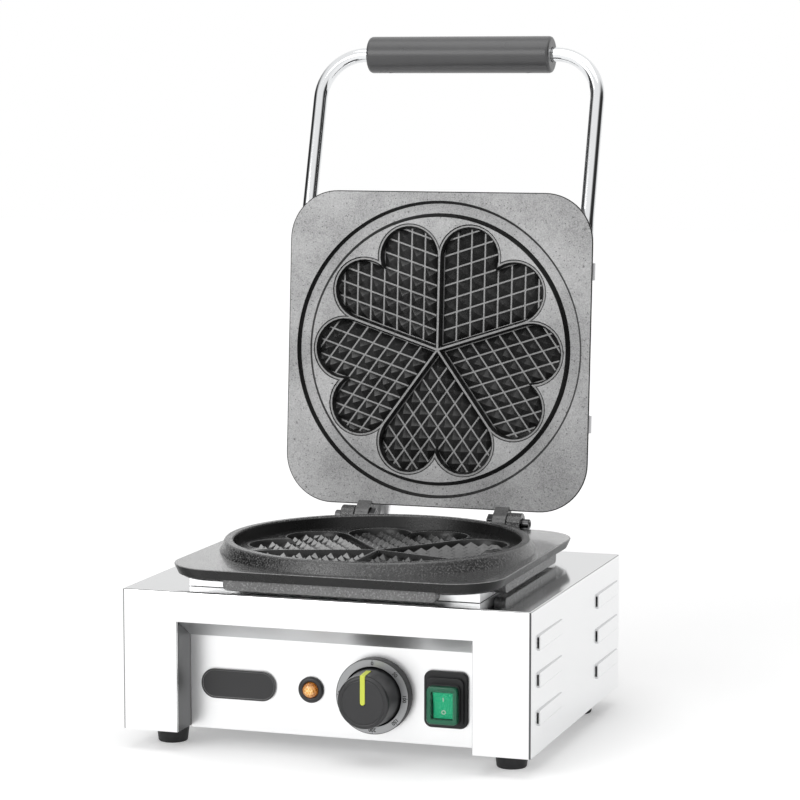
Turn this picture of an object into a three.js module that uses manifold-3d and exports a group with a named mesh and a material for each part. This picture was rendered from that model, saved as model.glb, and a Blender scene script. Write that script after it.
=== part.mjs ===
// Countertop heart waffle maker with a hinged lid, in millimetres.
// +X is the machine's right side, +Y its back and +Z up, and the feet stand on z = 0.
// The lid is drawn open, leaning back on its stop.

import * as THREE from 'three';
import { mergeVertices } from 'three/addons/utils/BufferGeometryUtils.js';
import Module from 'manifold-3d';

const wasm = await Module();
wasm.setup();

// Clearances and tool sizes
const gap = 0.3;
const bearingGap = 0.3;
const overrun = 2;
const degree = Math.PI / 180;
const roundSteps = 44;
const smallRoundSteps = 16;
const cornerSteps = 2;
const lobeSteps = 4;
const rodSides = 8;
const bendSteps = 4;
const hexSides = 6;

// Body
const bodyWidth = 272;
const bodyDepth = 226;
const bodyHeight = 92;
const bodySheet = 1.2;
const bodyEdgeRadius = 2.5;
const footHeight = 13;
const footTopDiameter = 22;
const footBottomDiameter = 18;
const footBesideRecess = 16.5;
const footInsetY = 32;
const footRecessDiameter = 11;
const footRecessDepth = 4;
const footStudDiameter = 5;
const footStudLength = 9;

// Control recess
const recessShare = 0.7243;
const recessHeight = 72;
const recessDepth = 23;
const hoodDrop = 12.3;
const trayLip = 9;
const trayFoot = 16;
const panelOverhang = 1.1;

// Controls
const controlHeight = 29;
const badgePlaceShare = -0.33;
const badgeWidth = 51;
const badgeHeight = 19.5;
const badgeThickness = 1.4;
const pilotPlaceShare = -0.0787;
const pilotBezelDiameter = 17;
const pilotBezelHeight = 2.6;
const pilotBarrelDiameter = 13;
const pilotLensDome = 3.4;
const pilotDomeShares = [[1, 0], [0.8, 0.55], [0.45, 0.9], [0, 1]];
const pilotBarrelLength = 22;
const pilotWall = 1.2;
const pilotNutDiameter = 18;
const pilotNutHeight = 4;
const dialPlaceShare = 0.1431;
const bezelDiameter = 48.4;
const bezelHeight = 7.2;
const bezelWall = 1.6;
const bezelFloor = 2;
const scaleInnerDiameter = 38.4;
const scaleThickness = 0.6;
const knobSkirtDiameter = 37;
const knobFaceDiameter = 34;
const knobReach = 27;
const knobSkirtStart = 3.6;
const knobWall = 3;
const knobHubDiameter = 13;
const knobEdge = 1.4;
const pointerWidth = 2.6;
const pointerThickness = 1.2;
const pointerProud = 0.3;
const pointerSideLength = 6;
const shaftDiameter = 6;
const shaftInsideLength = 16;
const shaftEndClearance = 2;
const thermostatWidth = 36;
const thermostatDepth = 26;
const thermostatNoseDiameter = 10;
const thermostatNutDiameter = 17;
const thermostatNutHeight = 2.6;
const bulbDiameter = 6;
const bulbLength = 60;
const capillaryDiameter = 2.4;
const capillaryBend = 8;

// Switch
const switchPlaceShare = 0.3807;
const switchFrameWidth = 28.7;
const switchFrameHeight = 36.3;
const switchFrameRadius = 5;
const switchTierHeights = [2.6, 4.6, 6.4];
const switchTierStep = 1.9;
const switchTierTallShare = 1.4;
const coverWidth = 20.4;
const coverHeight = 24;
const coverWall = 1.1;
const coverDepth = 4.4;
const rockerWidth = 13.5;
const rockerHeight = 16.4;
const rockerReach = 7;
const rockerPivotDepth = 1.5;
const rockerTilt = 7;
const rockerNeckHeight = 13;
const rockerNeckReach = 2.5;
const rockerHubDiameter = 4.4;
const trunnionDiameter = 2.4;
const trunnionReach = 0.9;
const switchBodyWidth = 18.4;
const switchBodyHeight = 23.6;
const switchBodyDepth = 26;
const switchCavityDepth = 5;
const switchCavityWidth = 14.4;
const switchCavityHeight = 19.6;
const switchCornerRadius = 1.5;

// Louvres in the two sides
const louvreLengthShare = 0.292;
const louvreHeight = 12;
const louvreStandoff = 3.4;
const louvreSlot = 7;
const louvreRows = [22.6, 46.5, 70];
const louvreColumnShares = [-0.2942, 0.3274];

// Hot plates
const plateWidth = 222;
const plateCornerRadius = 35;
const plateThickness = 6;
const plateCentreY = -4;
const lowerPlateTop = 120;
const underInset = 3;
const underThickness = 4.2;
const ringMargin = 6.5;
const ringFlare = 3;
const ringRim = 6.3;
const basinSlope = 1.2;
const ringHeight = 8;
const ringChamfer = 1;
const skirtThickness = 9.5;
const skirtFrontInset = 9;
const skirtSideInset = 3;
const skirtFrontEnd = 37;
const skirtSideEnd = 51;
const skirtDrop = 3;
const grooveInnerRoom = 0.6;
const grooveOuterRoom = 1.8;
const grooveDepth = 3.5;
const grooveSlope = 0.6;
const platesApart = 4.8;
const bossInset = 15;
const bossThickness = 6;

// Hearts pressed into both plates
const heartCount = 5;
const heartBorder = 1.5;
const lobeShare = 0.2191;
const lobeReachShare = 0.6904;
const pocketDepth = 6;
const toothSide = 10.4;
const toothValley = 1;
const toothHeight = 4.5;
const toothFirst = 1.2;

// Plinth, heat shield and heaters
const plinthSideInset = 13.5;
const plinthFrontInset = 21.7;
const plinthBackInset = 22;
const plinthHeight = 5;
const plinthLip = 14;
const heaterDiameter = 8;
const heaterSides = 6;
const lowerHeaterInset = 20;
const upperHeaterInset = 23;
const heaterBend = 8;
const heaterLegHalf = 15;
const heaterLegLength = 40;
const shieldSideInset = 17.5;
const shieldBehindPlinth = 9.3;
const shieldBehindPanel = 4.8;
const shieldBackInset = 9;
const shieldDepth = 31;
const shieldSheet = 0.8;
const shieldLip = 3;
const insulationThickness = 22;
const wireHoleDiameter = 12;
const limiterDiameter = 20;
const limiterHeight = 11;
const plateStudDiameter = 6;
const plateStudInset = 18;
const plateStudLength = 16;

// Hinge
const hingeBehindPlate = 8;
const hingeAbovePlate = 2;
const barrelRadius = 7.5;
const lidLugInner = 45.5;
const lugWidth = 10;
const lugNoseOutShare = 0.6;
const lugNoseUpShare = 0.75;
const lugApart = 0.5;
const pinDiameter = 7;
const pinProud = 5.3;
const socketDiameter = 4;
const socketDepth = 3;
const hingeNutDiameter = 12;
const hingeNutHeight = 4;
const openLean = 4;
const heelTop = 2.5;
const heelBottom = 7;

// Lid cover and its filling
const coverPanInset = 13;
const coverPanDepth = 25.7;
const coverPanRadius = 14;
const coverFlangeInset = 2;
const lidInsulationThickness = 9.4;
const lidInsulationMargin = 10;
const lidHeaterLegLength = 16;

// Handle
const rodDiameter = 10;
const rodInset = 8.5;
const rodBehindFace = 13;
const rodEndBelowCentre = 74;
const rodBendAboveCentre = 91;
const gripAboveCentre = 209;
const gripBehindFace = 41;
const rodCornerRadius = 32;
const rodCornerSteps = 5;
const gripDiameter = 26;
const gripEndRoom = 0.5;
const gripChamfer = 2;
const gripScrewInset = 19;
const gripScrewDiameter = 4;
const clipPlaceShares = [-0.2606, 0.3032];
const clipWidth = 12;
const clipThickness = 1.5;
const clipFoot = 12;
const clipWrap = 60 * degree;
const clipRise = 10 * degree;
const clipScrewDiameter = 4;
const clipScrewHead = 6.5;
const clipScrewHeadHeight = 2.2;
const clipScrewDepth = 8;

// Lead to the lid, mains inlet and wiring
const conduitX = -46;
const conduitDiameter = 13;
const conduitWall = 0.8;
const glandDiameter = 19;
const glandHeight = 12;
const glandThreadDiameter = 15;
const glandThreadLength = 7;
const glandNutHeight = 3;
const conduitBehindBody = 24;
const conduitBehindHinge = 22;
const elbowHeight = 66;
const elbowRise = 17;
const inletInset = 48;
const inletHeight = 26;
const inletDiameter = 20;
const inletReach = 14;
const inletBore = 8;
const terminalWidth = 46;
const terminalDepth = 20;
const terminalHeight = 16;
const terminalX = 40;
const terminalY = 62;
const wireDiameter = 3;
const wireBend = 10;
const wireSides = 6;

// Worked out from the sizes above
const bodyBottom = footHeight;
const bodyTop = bodyBottom + bodyHeight;
const bodyHalfWidth = bodyWidth / 2;
const bodyFront = -bodyDepth / 2;
const bodyBack = bodyDepth / 2;
const recessWidth = bodyWidth * recessShare;
const badgeX = recessWidth * badgePlaceShare;
const pilotX = recessWidth * pilotPlaceShare;
const dialX = recessWidth * dialPlaceShare;
const switchX = recessWidth * switchPlaceShare;
const louvreLength = bodyDepth * louvreLengthShare;
const louvreColumns = louvreColumnShares.map((share) => bodyDepth * share);
const inletX = bodyHalfWidth - inletInset;
const panelFront = bodyFront + recessDepth;
const panelBack = panelFront + bodySheet;
const panelBottom = bodyBottom - panelOverhang;
const recessTop = bodyBottom + recessHeight;
const controlZ = bodyBottom + controlHeight;
const lowerPlateUnder = lowerPlateTop - plateThickness;
const castingBottom = lowerPlateUnder - underThickness;
const ringBaseRadius = plateWidth / 2 - ringMargin;
const ringOuterRadius = ringBaseRadius - ringFlare;
const ringInnerRadius = ringOuterRadius - ringRim;
const basinRadius = ringInnerRadius - basinSlope;
const grooveInnerRadius = ringInnerRadius - grooveInnerRoom;
const grooveOuterRadius = ringOuterRadius + grooveOuterRoom;
const lobeRadius = basinRadius * lobeShare;
const lobeReach = basinRadius * lobeReachShare;
const bossWidth = plateWidth - 2 * bossInset;
const coverPanWidth = bossWidth - 2 * coverPanInset;
const coverFlangeWidth = bossWidth - 2 * coverFlangeInset;
const plinthWidth = plateWidth - 2 * plinthSideInset;
const plinthFront = plateCentreY - plateWidth / 2 + plinthFrontInset;
const plinthBack = plateCentreY + plateWidth / 2 - plinthBackInset;
const hingeY = plateCentreY + plateWidth / 2 + hingeBehindPlate;
const hingeZ = lowerPlateTop + hingeAbovePlate;
const lidCentre = plateWidth / 2 + hingeBehindPlate;
const faceOffset = platesApart - hingeAbovePlate;
const plateBack = faceOffset + plateThickness;
const bossBack = plateBack + bossThickness;
const panStart = bossBack + gap;
const panEnd = panStart + coverPanDepth;
const sectorHalf = Math.PI / heartCount;
const lidLugOuter = lidLugInner + lugWidth;
const baseLugInner = lidLugOuter + lugApart;
const baseLugOuter = baseLugInner + lugWidth;
const pinRadius = pinDiameter / 2;
const heaterRadius = heaterDiameter / 2;
const rodRadius = rodDiameter / 2;
const rodHalfSpan = plateWidth / 2 - rodInset;
const rodStart = lidCentre - rodEndBelowCentre;
const rodBendAt = lidCentre + rodBendAboveCentre;
const gripAt = lidCentre + gripAboveCentre;
const gripLength = 2 * (rodHalfSpan - rodCornerRadius - gripEndRoom);
const gripScrewX = gripLength / 2 - gripScrewInset;
const clipPlaces = clipPlaceShares.map((share) => lidCentre + coverFlangeWidth * share);
const conduitY = Math.max(bodyBack + conduitBehindBody, hingeY + conduitBehindHinge);
const shieldHalf = plinthWidth / 2 - shieldSideInset;
const shieldFront = Math.max(plinthFront + shieldBehindPlinth, panelBack + shieldBehindPanel);
const shieldBack = plinthBack - shieldBackInset;
const lowerHeaterHalf = shieldHalf - lowerHeaterInset;
const lowerHeaterBack = shieldBack - lowerHeaterInset;
const shieldTop = bodyTop - bodySheet - gap;
const shieldFloor = shieldTop - shieldDepth;

// Finishes
const finishes = {
  steel: { color: 0xd9dbdc, roughness: 0.25, metalness: 1 },
  panelSteel: { color: 0xe4e5e6, roughness: 0.18, metalness: 1 },
  chrome: { color: 0xe8e9ea, roughness: 0.08, metalness: 1 },
  castIron: { color: 0x3a3b3c, roughness: 0.45, metalness: 0.6 },
  castGrey: { color: 0x86878a, roughness: 0.6, metalness: 0.5 },
  blackPlastic: { color: 0x1b1b1c, roughness: 0.45, metalness: 0 },
  softGrip: { color: 0x2b2b2d, roughness: 0.55, metalness: 0 },
  rubber: { color: 0x151515, roughness: 0.8, metalness: 0 },
  scale: { color: 0xb9bbbd, roughness: 0.35, metalness: 1 },
  pointer: { color: 0xcfe03a, roughness: 0.5, metalness: 0 },
  amber: { color: 0xe08a1c, roughness: 0.15, metalness: 0 },
  green: { color: 0x12b36a, roughness: 0.35, metalness: 0 },
  greenCover: { color: 0x1f7a4c, roughness: 0.2, metalness: 0 },
  heater: { color: 0x5b5a57, roughness: 0.5, metalness: 1 },
  wool: { color: 0xd6cfb8, roughness: 0.95, metalness: 0 },
  brass: { color: 0xb9924a, roughness: 0.35, metalness: 1 },
  wire: { color: 0x9a3226, roughness: 0.6, metalness: 0 },
  ceramic: { color: 0xe6e2d8, roughness: 0.5, metalness: 0 },
};

// Turns a closed three.js geometry into a solid that can be cut and joined.
function solid(geometry) {
  const bare = new THREE.BufferGeometry();
  bare.setAttribute('position', geometry.getAttribute('position').clone());
  if (geometry.index) bare.setIndex(geometry.index.clone());
  const merged = mergeVertices(bare);
  const position = merged.getAttribute('position');
  const corners = [];
  let volume = 0;
  for (let i = 0; i < merged.index.count; i += 3) {
    const ids = [merged.index.getX(i), merged.index.getX(i + 1), merged.index.getX(i + 2)];
    const collapsed = ids[0] === ids[1] || ids[1] === ids[2] || ids[0] === ids[2];
    if (!collapsed) {
      const [a, b, c] = ids.map((id) => new THREE.Vector3().fromBufferAttribute(position, id));
      volume += a.dot(b.cross(c));
      corners.push(ids);
    }
  }
  const ordered = volume < 0 ? corners.map(([a, b, c]) => [a, c, b]) : corners;
  return new wasm.Manifold(new wasm.Mesh({
    numProp: 3,
    vertProperties: Float32Array.from(position.array),
    triVerts: Uint32Array.from(ordered.flat()),
  }));
}

function geometryOf(body) {
  const mesh = body.getMesh();
  const geometry = new THREE.BufferGeometry();
  geometry.setAttribute('position', new THREE.BufferAttribute(Float32Array.from(mesh.vertProperties), 3));
  geometry.setIndex(new THREE.BufferAttribute(Uint32Array.from(mesh.triVerts), 1));
  geometry.computeVertexNormals();
  return geometry;
}

function join(...bodies) {
  return bodies.reduce((sum, body) => sum.add(body));
}

function cut(body, ...tools) {
  return tools.reduce((rest, tool) => rest.subtract(tool), body);
}

function addPiece(group, name, body, finish) {
  const mesh = new THREE.Mesh(geometryOf(body), new THREE.MeshStandardMaterial(finishes[finish]));
  mesh.name = name;
  group.add(mesh);
  return mesh;
}

// A block between two corners.
function block(x0, x1, y0, y1, z0, z1) {
  const geometry = new THREE.BoxGeometry(x1 - x0, y1 - y0, z1 - z0);
  geometry.translate((x0 + x1) / 2, (y0 + y1) / 2, (z0 + z1) / 2);
  return solid(geometry);
}

// A rounded rectangle round a centre.
function roundedRectangle(centreU, centreV, width, height, radius) {
  const u0 = centreU - width / 2;
  const u1 = centreU + width / 2;
  const v0 = centreV - height / 2;
  const v1 = centreV + height / 2;
  const shape = new THREE.Shape();
  shape.absarc(u1 - radius, v0 + radius, radius, -Math.PI / 2, 0, false);
  shape.absarc(u1 - radius, v1 - radius, radius, 0, Math.PI / 2, false);
  shape.absarc(u0 + radius, v1 - radius, radius, Math.PI / 2, Math.PI, false);
  shape.absarc(u0 + radius, v0 + radius, radius, Math.PI, Math.PI * 1.5, false);
  return shape;
}

function outline(points) {
  return new THREE.Shape(points.map(([u, v]) => new THREE.Vector2(u, v)));
}

function extruded(shape, depth, steps) {
  return new THREE.ExtrudeGeometry(shape, { depth, bevelEnabled: false, curveSegments: steps });
}

// Upright prism of an outline in X and Y.
function prismUp(shape, z0, z1, steps = cornerSteps) {
  return solid(extruded(shape, z1 - z0, steps).translate(0, 0, z0));
}

// Prism along X of an outline in Y and Z.
function prismAcross(shape, x0, x1, steps = cornerSteps) {
  const turn = new THREE.Matrix4().makeBasis(
    new THREE.Vector3(0, 1, 0), new THREE.Vector3(0, 0, 1), new THREE.Vector3(1, 0, 0));
  return solid(extruded(shape, x1 - x0, steps).applyMatrix4(turn).translate(x0, 0, 0));
}

// Prism along Y of an outline in X and Z.
function prismBack(shape, y0, y1, steps = cornerSteps) {
  const turn = new THREE.Matrix4().makeBasis(
    new THREE.Vector3(1, 0, 0), new THREE.Vector3(0, 0, 1), new THREE.Vector3(0, -1, 0));
  return solid(extruded(shape, y1 - y0, steps).applyMatrix4(turn).translate(0, y1, 0));
}

// Turned solid: its profile is a list of radius and height, and the axis runs along +Z.
function turned(profile, steps) {
  const points = profile.map(([radius, height]) => new THREE.Vector2(radius, height));
  return new THREE.LatheGeometry(points, steps).rotateX(Math.PI / 2);
}

function turnedUp(profile, x, y, z, steps = smallRoundSteps) {
  return solid(turned(profile, steps).translate(x, y, z));
}

// The profile's height counts towards the front, along -Y.
function turnedFront(profile, x, y, z, steps = smallRoundSteps) {
  return solid(turned(profile, steps).rotateX(Math.PI / 2).translate(x, y, z));
}

// The profile's height counts towards the back, along +Y.
function turnedBack(profile, x, y, z, steps = smallRoundSteps) {
  return solid(turned(profile, steps).rotateX(-Math.PI / 2).translate(x, y, z));
}

// The profile's height counts along +X.
function turnedAcross(profile, x, y, z, steps = smallRoundSteps) {
  return solid(turned(profile, steps).rotateY(Math.PI / 2).translate(x, y, z));
}

// Six-sided nut with a round bore, placed by one of the functions above.
function nut(place, bore, across, start, end, x, y, z) {
  const blank = place(disc(across / 2, start, end), x, y, z, hexSides);
  return cut(blank, place(disc(bore + gap, start - overrun, end + overrun), x, y, z));
}

function disc(radius, start, end) {
  return [[0, start], [radius, start], [radius, end], [0, end]];
}

// A drill for a hole in a wall of this thickness that starts at height 0.
function drill(radius, thickness) {
  return disc(radius, -overrun, thickness + overrun);
}

function hoop(inner, outer, start, end) {
  return [[inner, start], [outer, start], [outer, end], [inner, end], [inner, start]];
}

// A route through corners, each rounded by an arc.
class Route extends THREE.Curve {
  constructor(corners, radius, steps) {
    super();
    this.places = [corners[0]];
    for (let i = 1; i < corners.length - 1; i += 1) {
      this.places.push(...arcAt(corners[i - 1], corners[i], corners[i + 1], radius, steps));
    }
    this.places.push(corners[corners.length - 1]);
  }

  getPoint(t, target = new THREE.Vector3()) {
    const along = t * (this.places.length - 1);
    const before = Math.min(Math.floor(along), this.places.length - 2);
    return target.lerpVectors(this.places[before], this.places[before + 1], along - before);
  }

  getPointAt(u, target = new THREE.Vector3()) {
    return this.getPoint(u, target);
  }

  getTangentAt(u, target = new THREE.Vector3()) {
    const last = this.places.length - 1;
    const at = Math.round(u * last);
    const into = at > 0 ? heading(this.places[at - 1], this.places[at]) : new THREE.Vector3();
    const out = at < last ? heading(this.places[at], this.places[at + 1]) : new THREE.Vector3();
    return target.addVectors(into, out).normalize();
  }
}

function heading(from, to) {
  return new THREE.Vector3().subVectors(to, from).normalize();
}

function arcAt(before, corner, after, radius, steps) {
  const into = heading(before, corner);
  const out = heading(corner, after);
  const turn = into.angleTo(out);
  const setback = radius * Math.tan(turn / 2);
  const start = corner.clone().addScaledVector(into, -setback);
  const inward = out.clone().addScaledVector(into, -into.dot(out)).normalize();
  const points = [];
  for (let i = 0; i <= steps; i += 1) {
    const angle = turn * i / steps;
    points.push(start.clone()
      .addScaledVector(inward, radius * (1 - Math.cos(angle)))
      .addScaledVector(into, radius * Math.sin(angle)));
  }
  return points;
}

function circle(radius, sides) {
  const points = [];
  for (let i = 0; i < sides; i += 1) {
    const angle = 2 * Math.PI * i / sides;
    points.push([radius * Math.cos(angle), radius * Math.sin(angle)]);
  }
  return outline(points);
}

// A bar along a route, open at neither end.
function bar(route, radius, sides) {
  return solid(new THREE.ExtrudeGeometry(circle(radius, sides), {
    steps: route.places.length - 1,
    extrudePath: route,
  }));
}

function at(x, y, z) {
  return new THREE.Vector3(x, y, z);
}

// Casing

function housing() {
  const outer = roundedRectangle(0, 0, bodyWidth, bodyDepth, bodyEdgeRadius);
  const inner = roundedRectangle(0, 0, bodyWidth - 2 * bodySheet, bodyDepth - 2 * bodySheet,
    bodyEdgeRadius - bodySheet);
  const recess = recessWidth / 2;
  let shell = cut(
    prismUp(outer, bodyBottom, bodyTop),
    prismUp(inner, bodyBottom - overrun, bodyTop - bodySheet),
    block(-recess, recess, bodyFront - overrun, bodyFront + bodySheet + overrun,
      bodyBottom - overrun, recessTop),
    block(-shieldHalf, shieldHalf, shieldFront, shieldBack, bodyTop - bodySheet - overrun, bodyTop + overrun),
    turnedBack(drill(glandThreadDiameter / 2 + gap, bodySheet), conduitX,
      bodyBack - bodySheet, bodyBottom + elbowHeight),
    turnedBack(drill(glandThreadDiameter / 2 + gap, bodySheet), inletX,
      bodyBack - bodySheet, bodyBottom + inletHeight),
  );
  for (const [x, y] of plateStudPlaces()) {
    shell = cut(shell, turnedUp(drill(plateStudDiameter / 2 + gap, bodySheet), x, y,
      bodyTop - bodySheet));
  }
  for (const side of [-1, 1]) {
    for (const y of louvreColumns) {
      for (const row of louvreRows) {
        shell = withLouvre(shell, side, y, bodyBottom + row);
      }
    }
  }
  return shell;
}

// One pressed louvre: a hood that stands off the side sheet and opens downwards over its slot.
function withLouvre(shell, side, y, z) {
  const wall = (reach) => side * (bodyHalfWidth + reach);
  const bottom = z - louvreHeight / 2;
  const top = z + louvreHeight / 2;
  const slotTop = top - 2 * bodySheet;
  const half = louvreLength / 2;
  const hood = outline([
    [wall(-bodySheet / 2), bottom], [wall(louvreStandoff), bottom], [wall(louvreStandoff), z],
    [wall(-bodySheet / 2), top],
  ]);
  const hollow = outline([
    [wall(-bodySheet - overrun), slotTop - louvreSlot], [wall(0), slotTop - louvreSlot],
    [wall(0), bottom - overrun], [wall(louvreStandoff - bodySheet), bottom - overrun],
    [wall(louvreStandoff - bodySheet), z - bodySheet], [wall(-bodySheet - overrun), slotTop],
  ]);
  return cut(
    join(shell, prismBack(hood, y - half, y + half)),
    prismBack(hollow, y - half + bodySheet, y + half - bodySheet),
  );
}

function bottomPlate() {
  const inset = bodySheet + gap;
  const notch = recessWidth / 2 + trayLip + gap;
  const bottom = bodyBottom + gap;
  let plate = cut(
    prismUp(roundedRectangle(0, 0, bodyWidth - 2 * inset, bodyDepth - 2 * inset, bodyEdgeRadius),
      bottom, bottom + bodySheet),
    block(-notch, notch, bodyFront, panelBack + gap, bottom - overrun, bottom + bodySheet + overrun),
  );
  for (const [x, y] of footPlaces()) {
    plate = cut(plate, turnedUp(drill(footStudDiameter / 2 + gap, bodySheet), x, y, bottom));
  }
  return plate;
}

function footPlaces() {
  const x = recessWidth / 2 + footBesideRecess;
  const y = bodyDepth / 2 - footInsetY;
  return [[-x, -y], [x, -y], [-x, y], [x, y]];
}

// Rubber foot with its moulded-in stud, which goes up through the bottom plate.
function foot() {
  const stud = footStudDiameter / 2;
  return [
    [0, footRecessDepth], [footRecessDiameter / 2, footRecessDepth], [footRecessDiameter / 2, 0],
    [footBottomDiameter / 2, 0], [footTopDiameter / 2, footHeight], [stud, footHeight],
    [stud, footHeight + footStudLength], [0, footHeight + footStudLength],
  ];
}

// The control tray: hood, face and foot are one folded sheet, with a cheek at each end.
function controlPanel() {
  const lipFront = bodyFront + bodySheet + gap;
  const half = recessWidth / 2;
  const profile = outline([
    [lipFront, recessTop], [panelFront, recessTop - hoodDrop], [panelFront, panelBottom],
    [panelFront + trayFoot, panelBottom], [panelFront + trayFoot, panelBottom + bodySheet],
    [panelBack, panelBottom + bodySheet], [panelBack, recessTop - hoodDrop + bodySheet],
    [lipFront + bodySheet, recessTop + bodySheet], [lipFront + bodySheet, recessTop + trayLip],
    [lipFront, recessTop + trayLip],
  ]);
  const cheek = outline([
    [lipFront, bodyBottom], [panelBack, bodyBottom], [panelBack, recessTop - hoodDrop + bodySheet],
    [lipFront + bodySheet, recessTop + bodySheet], [lipFront, recessTop + bodySheet],
  ]);
  let tray = prismAcross(profile, -half, half);
  for (const side of [-1, 1]) {
    const inner = side * half;
    const outer = side * (half + bodySheet);
    const lip = side * (half + trayLip);
    tray = join(tray,
      prismAcross(cheek, Math.min(inner, outer), Math.max(inner, outer)),
      block(Math.min(inner, lip), Math.max(inner, lip), lipFront, lipFront + bodySheet,
        bodyBottom, recessTop + bodySheet));
  }
  const hole = (x, radius) => turnedFront(drill(radius, bodySheet), x, panelBack, controlZ);
  return cut(tray,
    hole(pilotX, pilotBarrelDiameter / 2 + gap),
    hole(dialX, thermostatNoseDiameter / 2 + gap),
    prismBack(roundedRectangle(switchX, controlZ, switchBodyWidth + 2 * gap, switchBodyHeight + 2 * gap,
      switchCornerRadius), panelFront - overrun, panelBack + overrun));
}

// Controls

function badge() {
  const plate = roundedRectangle(badgeX, controlZ, badgeWidth, badgeHeight, badgeHeight / 2 - gap);
  return prismBack(plate, panelFront - gap - badgeThickness, panelFront - gap, cornerSteps * 2);
}

function pilotBezel() {
  const barrel = pilotBarrelDiameter / 2;
  const bore = barrel - pilotWall;
  const rim = pilotBezelDiameter / 2;
  return turnedFront([
    [bore, -pilotBarrelLength], [barrel, -pilotBarrelLength], [barrel, gap], [rim, gap],
    [rim, pilotBezelHeight / 2], [barrel, pilotBezelHeight], [bore, pilotBezelHeight],
    [bore, -pilotBarrelLength],
  ], pilotX, panelFront, controlZ, smallRoundSteps + cornerSteps);
}

function pilotLens() {
  const radius = pilotBarrelDiameter / 2 - pilotWall - gap;
  const dome = pilotDomeShares.map(([out, up]) => [radius * out, pilotBezelHeight + pilotLensDome * up]);
  return turnedFront([
    [0, -pilotBarrelLength / 2], [radius, -pilotBarrelLength / 2], ...dome,
  ], pilotX, panelFront, controlZ);
}

function pilotNut() {
  const end = -bodySheet - gap;
  return nut(turnedFront, pilotBarrelDiameter / 2, pilotNutDiameter, end - pilotNutHeight, end,
    pilotX, panelFront, controlZ);
}

// The dial bezel is a cup that stands round the foot of the knob.
function dialBezel() {
  const outer = bezelDiameter / 2;
  const bore = thermostatNoseDiameter / 2 + gap;
  const wall = scaleInnerDiameter / 2 + bezelWall;
  return turnedFront([
    [bore, gap], [outer, gap], [outer, bezelHeight], [wall, bezelHeight], [wall, bezelFloor + gap],
    [bore, bezelFloor + gap], [bore, gap],
  ], dialX, panelFront, controlZ, 2 * smallRoundSteps);
}

function dialScale() {
  return turnedFront(hoop(scaleInnerDiameter / 2, bezelDiameter / 2 - gap, bezelHeight + gap,
    bezelHeight + gap + scaleThickness), dialX, panelFront, controlZ, smallRoundSteps * 2);
}

function knob() {
  const skirt = knobSkirtDiameter / 2;
  const face = knobFaceDiameter / 2;
  const bore = shaftDiameter / 2 + gap;
  const hub = knobHubDiameter / 2;
  const cavity = skirt - knobWall;
  const boreEnd = knobReach - knobWall;
  const hubStart = bezelFloor + thermostatNutHeight + 3 * gap + shaftEndClearance;
  const blank = turnedFront([
    [bore, hubStart], [hub, hubStart], [hub, boreEnd], [face - knobWall, boreEnd],
    [cavity, knobSkirtStart], [skirt, knobSkirtStart], [skirt, knobSkirtStart + knobWall],
    [face, knobReach - knobEdge], [face - knobEdge, knobReach], [0, knobReach], [0, boreEnd - gap],
    [bore, boreEnd - gap], [bore, hubStart],
  ], 0, 0, 0, smallRoundSteps * 2);
  const half = pointerWidth / 2 + gap;
  return cut(blank,
    block(-half, half, -knobReach - overrun, -knobReach + pointerThickness, -half, skirt + overrun),
    block(-half, half, -knobReach - overrun, -knobReach + pointerSideLength + gap,
      face - pointerThickness - gap, skirt + overrun));
}

function knobPointer() {
  const half = pointerWidth / 2;
  const face = knobFaceDiameter / 2;
  const front = -knobReach - pointerProud;
  return join(
    block(-half, half, front, -knobReach + pointerThickness - gap, -half, face + pointerProud),
    block(-half, half, front, -knobReach + pointerSideLength, face - pointerThickness, face + pointerProud),
  );
}

function thermostatShaft() {
  const end = knobReach - knobWall - 2 * gap;
  return turnedFront(disc(shaftDiameter / 2, -shaftInsideLength, end), 0, 0, 0);
}

function thermostatBody() {
  const half = thermostatWidth / 2;
  const front = -bodySheet - gap;
  const noseEnd = bezelFloor + 2 * gap + thermostatNutHeight + gap;
  const body = block(dialX - half, dialX + half, panelFront - front, panelFront - front + thermostatDepth,
    controlZ - half, controlZ + half);
  const nose = turnedFront(disc(thermostatNoseDiameter / 2, front - bodySheet, noseEnd),
    dialX, panelFront, controlZ);
  const bore = turnedFront(disc(shaftDiameter / 2 + bearingGap, -shaftInsideLength - gap, noseEnd + overrun),
    dialX, panelFront, controlZ);
  return cut(join(body, nose), bore);
}

function thermostatNut() {
  const start = bezelFloor + 2 * gap;
  return nut(turnedFront, thermostatNoseDiameter / 2, thermostatNutDiameter, start,
    start + thermostatNutHeight, dialX, panelFront, controlZ);
}

// Bulb pressed against the underside of the lower plate, with its capillary down to the thermostat.
function thermostatBulb() {
  const z = castingBottom - gap - bulbDiameter / 2;
  const bulb = turnedAcross(disc(bulbDiameter / 2, -bulbLength / 2, bulbLength / 2), 0, 0, z);
  const endX = bulbLength / 2;
  const downX = endX + capillaryBend * 2;
  const thermostatTop = controlZ + thermostatWidth / 2 + gap;
  const middleY = panelBack + gap + thermostatDepth / 2;
  const level = (shieldFloor + thermostatTop) / 2;
  const route = new Route([
    at(endX - capillaryBend, 0, z), at(downX, 0, z), at(downX, 0, level), at(downX, middleY, level),
    at(dialX, middleY, level), at(dialX, middleY, thermostatTop),
  ], capillaryDiameter, bendSteps - 2);
  return join(bulb, bar(route, capillaryDiameter / 2, wireSides));
}

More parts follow.
